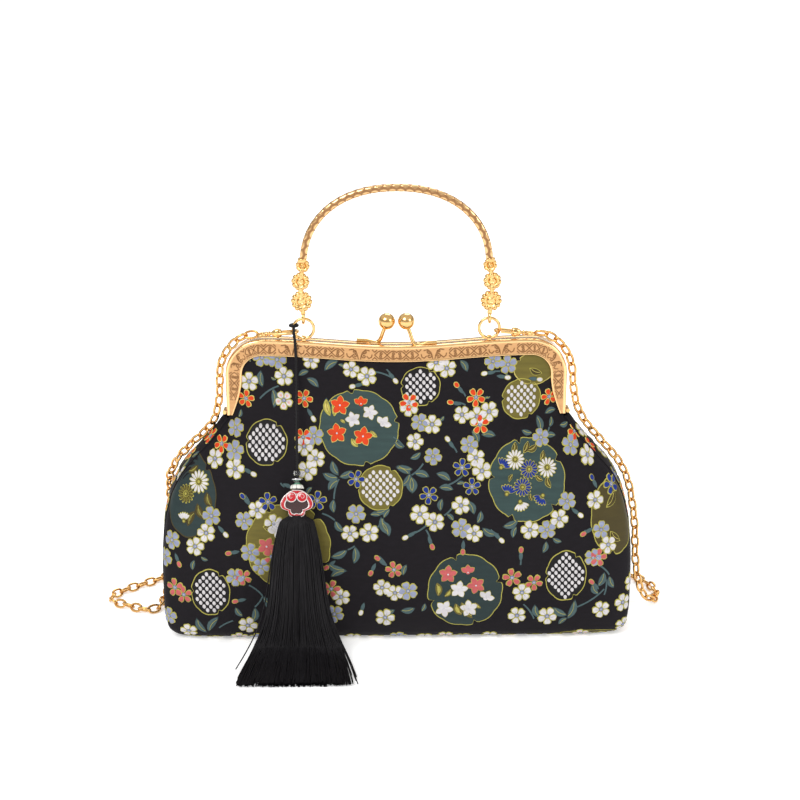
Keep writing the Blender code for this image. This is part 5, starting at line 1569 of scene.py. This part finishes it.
for hand, side in ((-1, "left"), (1, "right")):
    piece = make_piece("kiss_ball_" + side, lock_ball(hand), polished_gold)
    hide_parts("kiss_lock_" + side)

# %% [markdown]
# ## Carry rings and the handle
# Two rings stand on the frame in small straps. The handle's cast ends hang in
# them: an eye, then three rosettes up a stem, and then the engraved tube that
# arches over.

# %% Rings and straps
RING_X, RING_Y, RING_Z, RING_R, RING_WIRE = 48.5, -2.7, 162.13, 5.35, 1.6
for side, name in ((-1, "ring_left"), (1, "ring_right")):
    circle = [(side * RING_X + RING_R * math.cos(math.tau * k / 64), RING_Y,
               RING_Z + RING_R * math.sin(math.tau * k / 64)) for k in range(64)]
    drawing = drawn(bent_wire(circle, RING_WIRE, closed=True, fineness=4))
    ring = make_piece(name + "_wire", drawing, polished_gold)
    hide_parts(name)


def softened_copy(node, softness, piece_name, finish, body):
    """A CAD node's shape with its loose triangles merged and its edges eased."""
    drawing = bmesh.new()
    drawing.from_mesh(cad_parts[node].data)
    bmesh.ops.scale(drawing, vec=(1 / MM, 1 / MM, 1 / MM), verts=drawing.verts)
    bmesh.ops.remove_doubles(drawing, verts=drawing.verts, dist=0.002)
    bmesh.ops.dissolve_limit(drawing, angle_limit=math.radians(2), verts=drawing.verts, edges=drawing.edges)
    keen = [edge for edge in drawing.edges
            if len(edge.link_faces) == 2 and edge.calc_face_angle(0.0) > math.radians(35)]
    bmesh.ops.bevel(drawing, geom=keen, affect="EDGES", offset=softness, offset_type="OFFSET", segments=2,
                    profile=0.5, material=-1, clamp_overlap=True)
    piece = make_piece(piece_name, drawing, finish, body, crisp=40)
    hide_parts(node)
    return piece


for side in ("left", "right"):
    softened_copy("ring_strap_" + side, 0.12, "strap_of_ring_" + side, polished_gold, "bag")
    softened_copy("clasp_lever_" + side, 0.1, "lever_of_clasp_" + side, polished_gold, "lever_" + side)

# %% Rosettes and cast ends
HINGE_Z = 167.479
ROSETTES = ((9.2, 0.7, 11.2, 12), (19.6, 1.1, 9.6, 10), (28.0, -0.2, 7.4, 8))


def rosette(width, petals):
    """A cast flower: domed petals round a raised ring with a dimple in the middle."""
    radius = width / 2
    face = [(0.0, 0.62), (0.08, 0.66), (0.16, 0.86), (0.24, 1.02), (0.32, 0.92), (0.37, 0.62), (0.42, 0.50),
            (0.50, 0.66), (0.60, 0.86), (0.70, 0.96), (0.80, 0.94), (0.89, 0.78), (0.96, 0.46), (1.0, 0.10),
            (0.99, 0.0)]
    both = face + [(r, -z) for r, z in reversed(face[:-1])]

    def petalled(spot):
        share = min(max((math.hypot(spot.x, spot.y) / radius - 0.40) / 0.45, 0.0), 1.0)
        valley = 1 - abs(math.sin(math.atan2(spot.y, spot.x) * petals / 2))
        pull = 1 - 0.13 * share * valley ** 2.2
        return Vector((spot.x * pull, spot.y * pull, spot.z * (1 - 0.45 * share * valley ** 2.0)))

    return turned([(r * radius, z * 1.6) for r, z in both], 96, petalled)


def handle_end(hand):
    """The cast end: an eye on the ring, a stem and its three rosettes."""
    x = hand * RING_X
    eye = [(x, RING_Y + 0.85 * math.sin(math.tau * k / 40) * 2.2,
            HINGE_Z + 0.2 + 2.35 * math.cos(math.tau * k / 40)) for k in range(40)]
    drawing = drawn(bent_wire(eye, 1.7, closed=True, fineness=4))
    flowers = [(x + hand * out, RING_Y, HINGE_Z + up) for up, out, _, _ in ROSETTES]
    stem = smooth_route([(x, RING_Y, HINGE_Z + 2.3), (x + hand * 0.3, RING_Y, HINGE_Z + 5), *flowers,
                         (x, RING_Y, HINGE_Z + 31.8)], 8)
    copy_in(drawing, bent_wire(stem, 2.6, fineness=4))
    for up, out, width, petals in ROSETTES:
        at = Vector((x + hand * out, RING_Y, HINGE_Z + up))
        copy_in(drawing, rosette(width, petals), facing((0, -1, 0), at, 0.2))
    collar = [(0.0, -1.0), (2.0, -1.0), (2.45, -0.4), (2.2, 0.3), (2.45, 0.9), (2.1, 1.4), (0.0, 1.4)]
    copy_in(drawing, turned(collar, 40), Matrix.Translation((x, RING_Y, HINGE_Z + 30.6)))
    return drawing


for hand, side in ((-1, "left"), (1, "right")):
    end = make_piece("cast_end_" + side, handle_end(hand), polished_gold, "handle", crisp=60)
    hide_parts("handle_end_" + side)

# %% [markdown]
# The arch is a tube with a chased skin: small leaves run up it from both feet
# and meet at the top. The relief is pushed into the tube's own grid.

# %% Arch
ARCH_FOOT, ARCH_RISE, ARCH_HALF, ARCH_TUBE, ARCH_POWER = 199.479, 36.02, 48.0, 4.2, 2.2
ARCH_SINK = 0.12 * ARCH_RISE
ARCH_TALL = ARCH_RISE + ARCH_SINK
arch_start = math.asin((ARCH_SINK / ARCH_TALL) ** (ARCH_POWER / 2))


def arch_point(share):
    """A point of the arch's middle line, from its left foot at 0 to its right foot at 1."""
    turn = math.pi - arch_start - (math.pi - 2 * arch_start) * share
    out = math.copysign(abs(math.cos(turn)) ** (2 / ARCH_POWER), math.cos(turn))
    rise = ARCH_TALL * math.sin(turn) ** (2 / ARCH_POWER)
    return Vector((ARCH_HALF * out, RING_Y, ARCH_FOOT - ARCH_SINK + rise))


def arch_line(count):
    """Points of the arch an even distance apart."""
    fine = [arch_point(k / 1200) for k in range(1201)]
    run = run_along(fine)
    places = [bisect.bisect_left(run, run[-1] * k / count) for k in range(count + 1)]
    return [fine[min(place, 1200)] for place in places], run[-1]


ARCH_STEPS, ARCH_ROUND, CHASED_DEEP = 560, 36, 0.2
arch_points, arch_length = arch_line(ARCH_STEPS)


def chased(run, turn):
    """Relief of the tube's skin: overlapping leaves with a rib, 0 to 1."""
    place = (min(run, arch_length - run) / 4.6 + 0.5 * (math.floor(turn / math.tau * 4) % 2)) % 1.0
    side = (turn / math.tau * 4) % 1.0 - 0.5
    edge = 0.44 * math.sin(math.pi * min(place * 1.05, 1.0)) ** 0.7
    leaf = max(0.0, 1.0 - (abs(side) / max(edge, 0.02)) ** 3)
    rib_line = max(0.0, 1.0 - abs(side) / 0.06)
    return leaf * (1 - 0.6 * rib_line)


def arch_tube():
    """The tube as a grid rolled round the arch's middle line."""
    tube = bmesh.new()
    cut_marks = tube.verts.layers.float.new("cut")
    polish_and_highlight_marks = tube.verts.layers.float.new("polish_and_highlight")
    bmesh.ops.create_grid(tube, x_segments=ARCH_STEPS, y_segments=ARCH_ROUND, size=1.0)
    for vertex in tube.verts:
        k = round((vertex.co.x + 1) / 2 * ARCH_STEPS)
        turn = (vertex.co.y + 1) / 2 * math.tau
        along = (arch_points[min(k + 1, ARCH_STEPS)] - arch_points[max(k - 1, 0)]).normalized()
        out = Vector((-along.z, 0.0, along.x))
        relief = chased(arch_length * k / ARCH_STEPS, turn)
        radius = ARCH_TUBE / 2 - CHASED_DEEP + CHASED_DEEP * relief
        vertex.co = arch_points[k] + (out * math.cos(turn) + Vector((0, -1, 0)) * math.sin(turn)) * radius
        vertex[cut_marks] = 0.55 * (1 - relief)
        # The raised leaves are polished: less rough, and painted a lighter colour as a highlight on the
        # relief.
        vertex[polish_and_highlight_marks] = relief
    bmesh.ops.remove_doubles(tube, verts=tube.verts, dist=0.002)
    bmesh.ops.holes_fill(tube, edges=tube.edges, sides=0)
    bmesh.ops.recalc_face_normals(tube, faces=tube.faces)
    return tube


handle_arch = make_piece("arch_tube", arch_tube(), satin_gold, "handle")
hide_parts("handle_arch")
print("arch tube is", round(arch_length, 1), "mm long")

# %% [markdown]
# ## Clasps
# The chain clips on with two lobster clasps. Each has a hook, a lever on a
# pin, and a swivel: a neck with a collar, then a cup that holds a small eye.

# %% Clasps
CLASP_LEAN = math.radians(5.0)
HOOK_LONG, HOOK_HALF, HOOK_WIRE, EYE_R, EYE_WIRE = 10.0, 2.9, 1.7, 2.3, 1.2
HOOK_SHARES = ((-0.10, -0.72), (0.20, -0.95), (0.50, -1.0), (0.80, -0.82), (0.96, -0.38), (0.99, 0.10),
               (0.93, 0.60), (0.84, 0.90))


def clasp_frame(hand):
    """The clasp's own axes: along it towards the ring, across it and up."""
    along = Vector((-hand * math.cos(CLASP_LEAN), 0.0, math.sin(CLASP_LEAN)))
    across = Vector((0.0, -hand, 0.0))
    up = along.cross(across)
    grip = Vector((hand * 53.604, -2.7, 160.525))
    turn = Matrix((along, across, up)).transposed().to_4x4()
    return Matrix.Translation(grip - along * 8.05) @ turn


def clasp_hook():
    """The hook, its flat base, the neck, the collar and the cup, drawn along X."""
    hook = smooth_route([(u * HOOK_LONG, v * HOOK_HALF, 0.0) for u, v in HOOK_SHARES], 8)
    swell = [0.85 + 0.25 * math.sin(math.pi * k / (len(hook) - 1)) for k in range(len(hook))]
    drawing = drawn(bent_wire(hook, HOOK_WIRE, swell, fineness=4))
    base = [(0.0, -4.2), (0.9, -4.2), (1.5, -3.6), (2.1, -2.4), (2.5, -1.2), (2.4, 0.0), (1.7, 0.9),
            (0.0, 1.3)]
    squeeze = Matrix.Diagonal((0.62, 1.0, 1.0, 1.0))
    copy_in(drawing, turned(base, 40), facing((1, 0, 0), (0.6, 0, 0)) @ squeeze)
    neck = [(0.0, -6.9), (1.1, -6.9), (1.35, -6.4), (1.3, -5.9), (0.9, -5.7), (0.9, -5.3), (1.5, -5.1),
            (1.55, -4.8), (1.3, -4.5), (0.9, -4.3), (0.9, -2.9), (0.0, -2.9)]
    copy_in(drawing, turned(neck, 40), facing((1, 0, 0), (0, 0, 0)))
    return drawing


def swivel_eye():
    """The small eye that the chain hangs on, in the cup."""
    eye = [(-8.8 + EYE_R * math.cos(math.tau * k / 40), EYE_R * math.sin(math.tau * k / 40), 0.0)
           for k in range(40)]
    return drawn(bent_wire(eye, EYE_WIRE, closed=True))


for hand, side in ((-1, "left"), (1, "right")):
    for drawing, name, node in ((clasp_hook(), "lobster_hook_", "clasp_hook_"),
                                (swivel_eye(), "swivel_eye_", "clasp_eyelet_")):
        bmesh.ops.transform(drawing, matrix=clasp_frame(hand), verts=drawing.verts)
        piece = make_piece(name + side, drawing, polished_gold, crisp=50)
        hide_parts(node + side)

# %% [markdown]
# ## Chain strap
# The chain is round-link cable chain: every link is the same oval of bent wire,
# and each lies a quarter turn from its neighbours. One link is made with few
# faces and set along the chain's route, because there are well over a hundred.

# %% Chain route
CHAIN_ROUTE = (
    (-73.6, -2.9, 159.2), (-78, -3.2, 158.8), (-82.7, -3.3, 156.7), (-87.3, -3.3, 152.2),
    (-91, -3.3, 146.6), (-92.9, -3.3, 139.5), (-93.3, -3.3, 130), (-94.4, -3.2, 121.5), (-97.4, -2, 112),
    (-102.2, 0, 105.6), (-110.9, 2, 97), (-119.1, 6, 86.9), (-124.2, 12, 76), (-126.3, 19.5, 66),
    (-126.8, 27, 53), (-126.3, 34, 38), (-126.3, 39.5, 23), (-128, 42, 10.5), (-133, 39.5, 3.3),
    (-142, 32, 2.4), (-153, 23, 2.4), (-160, 14.5, 2.4), (-158.5, 6.5, 2.4), (-149.1, 1, 2.4),
    (-139.5, -4, 2.4), (-133, -2, 2.4), (-131, 7, 2.4), (-130.4, 20, 2.4), (-127, 34, 2.4),
    (-118, 45, 2.4), (-98, 49, 2.4), (-60, 49.8, 2.4), (-20, 49, 2.4), (20, 49.8, 2.4), (60, 49, 2.4),
    (98, 49.5, 2.4), (122, 46.5, 2.4), (137, 36, 2.4), (145.5, 24, 2.4), (147.5, 11.5, 2.4),
    (143.5, 2.5, 3.2), (137.6, -0.6, 8.5), (134, -1.2, 18), (132, -1, 32), (131, -0.8, 48),
    (129, -0.6, 62), (126, -0.8, 75), (120.6, -1.2, 86.6), (111.6, -1.8, 97.6), (103, -2.4, 107.6),
    (97.6, -2.9, 116), (94.6, -3.2, 125), (93.2, -3.3, 135), (92.4, -3.3, 142), (89.6, -3.3, 149),
    (85, -3.3, 154.8), (78.4, -3.2, 158.7), (73.6, -2.9, 159.2),
)
chain_line = smooth_route(CHAIN_ROUTE, 12)
chain_run = run_along(chain_line)


def on_chain(run):
    """The point of the chain's route at a distance along it."""
    k, part = step_at(chain_run, run)
    return chain_line[k - 1].lerp(chain_line[k], part)


print("chain is", round(chain_run[-1], 1), "mm long")

# %% Links
LINK_LONG, LINK_WIDE, LINK_WIRE = 8.1, 5.6, 1.4
LINK_PITCH, FIRST_LINK, LINK_REACH = 5.5, 2.3, 2.2


def chain_link():
    """One oval link along X, lying flat, with few faces."""
    half_long, half_wide = (LINK_LONG - LINK_WIRE) / 2, (LINK_WIDE - LINK_WIRE) / 2
    oval = []
    for k in range(14):
        turn = math.tau * (k + 0.5) / 14
        oval.append((math.copysign(abs(math.cos(turn)) ** 0.86, math.cos(turn)) * half_long,
                     math.copysign(abs(math.sin(turn)) ** 0.86, math.sin(turn)) * half_wide, 0.0))
    return bent_wire(oval, LINK_WIRE, closed=True, fineness=1)


def chain_drawing():
    """The whole chain: each link turned a quarter from the one before."""
    link, chain = chain_link(), bmesh.new()
    linked = chain_run[-1] - 2 * FIRST_LINK
    count = round(linked / LINK_PITCH)
    pitch = linked / count
    for number in range(count + 1):
        run = FIRST_LINK + number * pitch
        at = on_chain(run)
        before, after = on_chain(max(run - LINK_REACH, 0.0)), on_chain(min(run + LINK_REACH, chain_run[-1]))
        along = (after - before).normalized()
        level = Vector((0, 0, 1)) if abs(along.z) < 0.8 else Vector((0, -1, 0))
        across = level.cross(along).normalized()
        turn = Matrix((along, across, along.cross(across))).transposed().to_4x4()
        lean = math.pi / 4 if number % 2 else -math.pi / 4
        copy_in(chain, link, Matrix.Translation(at) @ turn @ Matrix.Rotation(lean, 4, "X"))
    print(count + 1, "links, one every", round(pitch, 2), "mm")
    return chain


chain = make_piece("chain_links", chain_drawing(), chain_gold)
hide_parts("chain_strap")

# %% [markdown]
# ## Room and light
# A plain pale floor and soft lamps, as in a product picture: a large lamp from
# the upper left, a smaller one from the right, and one behind that draws the
# edges of the metal. The room is bright overhead and at the horizon with a
# darker belt between, because polished gold only looks like metal when it has
# something dark to reflect.

# %% Floor
floor_drawing = bmesh.new()
bmesh.ops.create_grid(floor_drawing, x_segments=4, y_segments=4, size=80.0)
floor = bpy.data.objects.new("floor", as_part(floor_drawing))
bpy.context.collection.objects.link(floor)
pale_floor = Finish("pale_floor", Base_Color=dye(248, 248, 248), Roughness=0.9, Specular_IOR_Level=0.1,
                    Emission_Color=(1.0, 1.0, 1.0), Emission_Strength=0.35)
floor.data.materials.append(pale_floor.material)


# %% Lamps
def lamp(name, at, size, power):
    """A square soft lamp that points at the middle of the bag."""
    light = bpy.data.lights.new(name, "AREA")
    light.size = size
    light.energy = power
    holder = bpy.data.objects.new(name, light)
    holder.location = at
    holder.rotation_euler = (Vector((0.0, 0.0, 0.1)) - Vector(at)).to_track_quat("-Z", "Y").to_euler()
    bpy.context.collection.objects.link(holder)


lamp("lamp_key", (-0.8, -1.2, 1.5), 0.9, 20.0)
lamp("lamp_fill", (1.3, -0.9, 0.8), 0.7, 7.0)
lamp("lamp_back", (0.2, 1.2, 1.4), 0.9, 10.0)

# %% Room
room = bpy.data.worlds.new("room")
room.use_nodes = True
sky = room.node_tree
direction = sky.nodes.new("ShaderNodeTexCoord")
split = sky.nodes.new("ShaderNodeSeparateXYZ")
dome = sky.nodes.new("ShaderNodeValToRGB")
for place, (height, grey) in enumerate(((0.0, 1.25), (0.10, 1.0), (0.28, 0.34), (0.55, 1.0))):
    if place > 1:
        dome.color_ramp.elements.new(height)
    dome.color_ramp.elements[place].position = height
    dome.color_ramp.elements[place].color = (grey, grey * 0.995, grey * 0.985, 1.0)
sky.links.new(direction.outputs["Generated"], split.inputs[0])
sky.links.new(split.outputs["Z"], dome.inputs[0])
sky.links.new(dome.outputs[0], sky.nodes["Background"].inputs["Color"])
sky.nodes["Background"].inputs["Strength"].default_value = 0.85
bpy.context.scene.world = room
bpy.context.scene.view_settings.view_transform = "Standard"
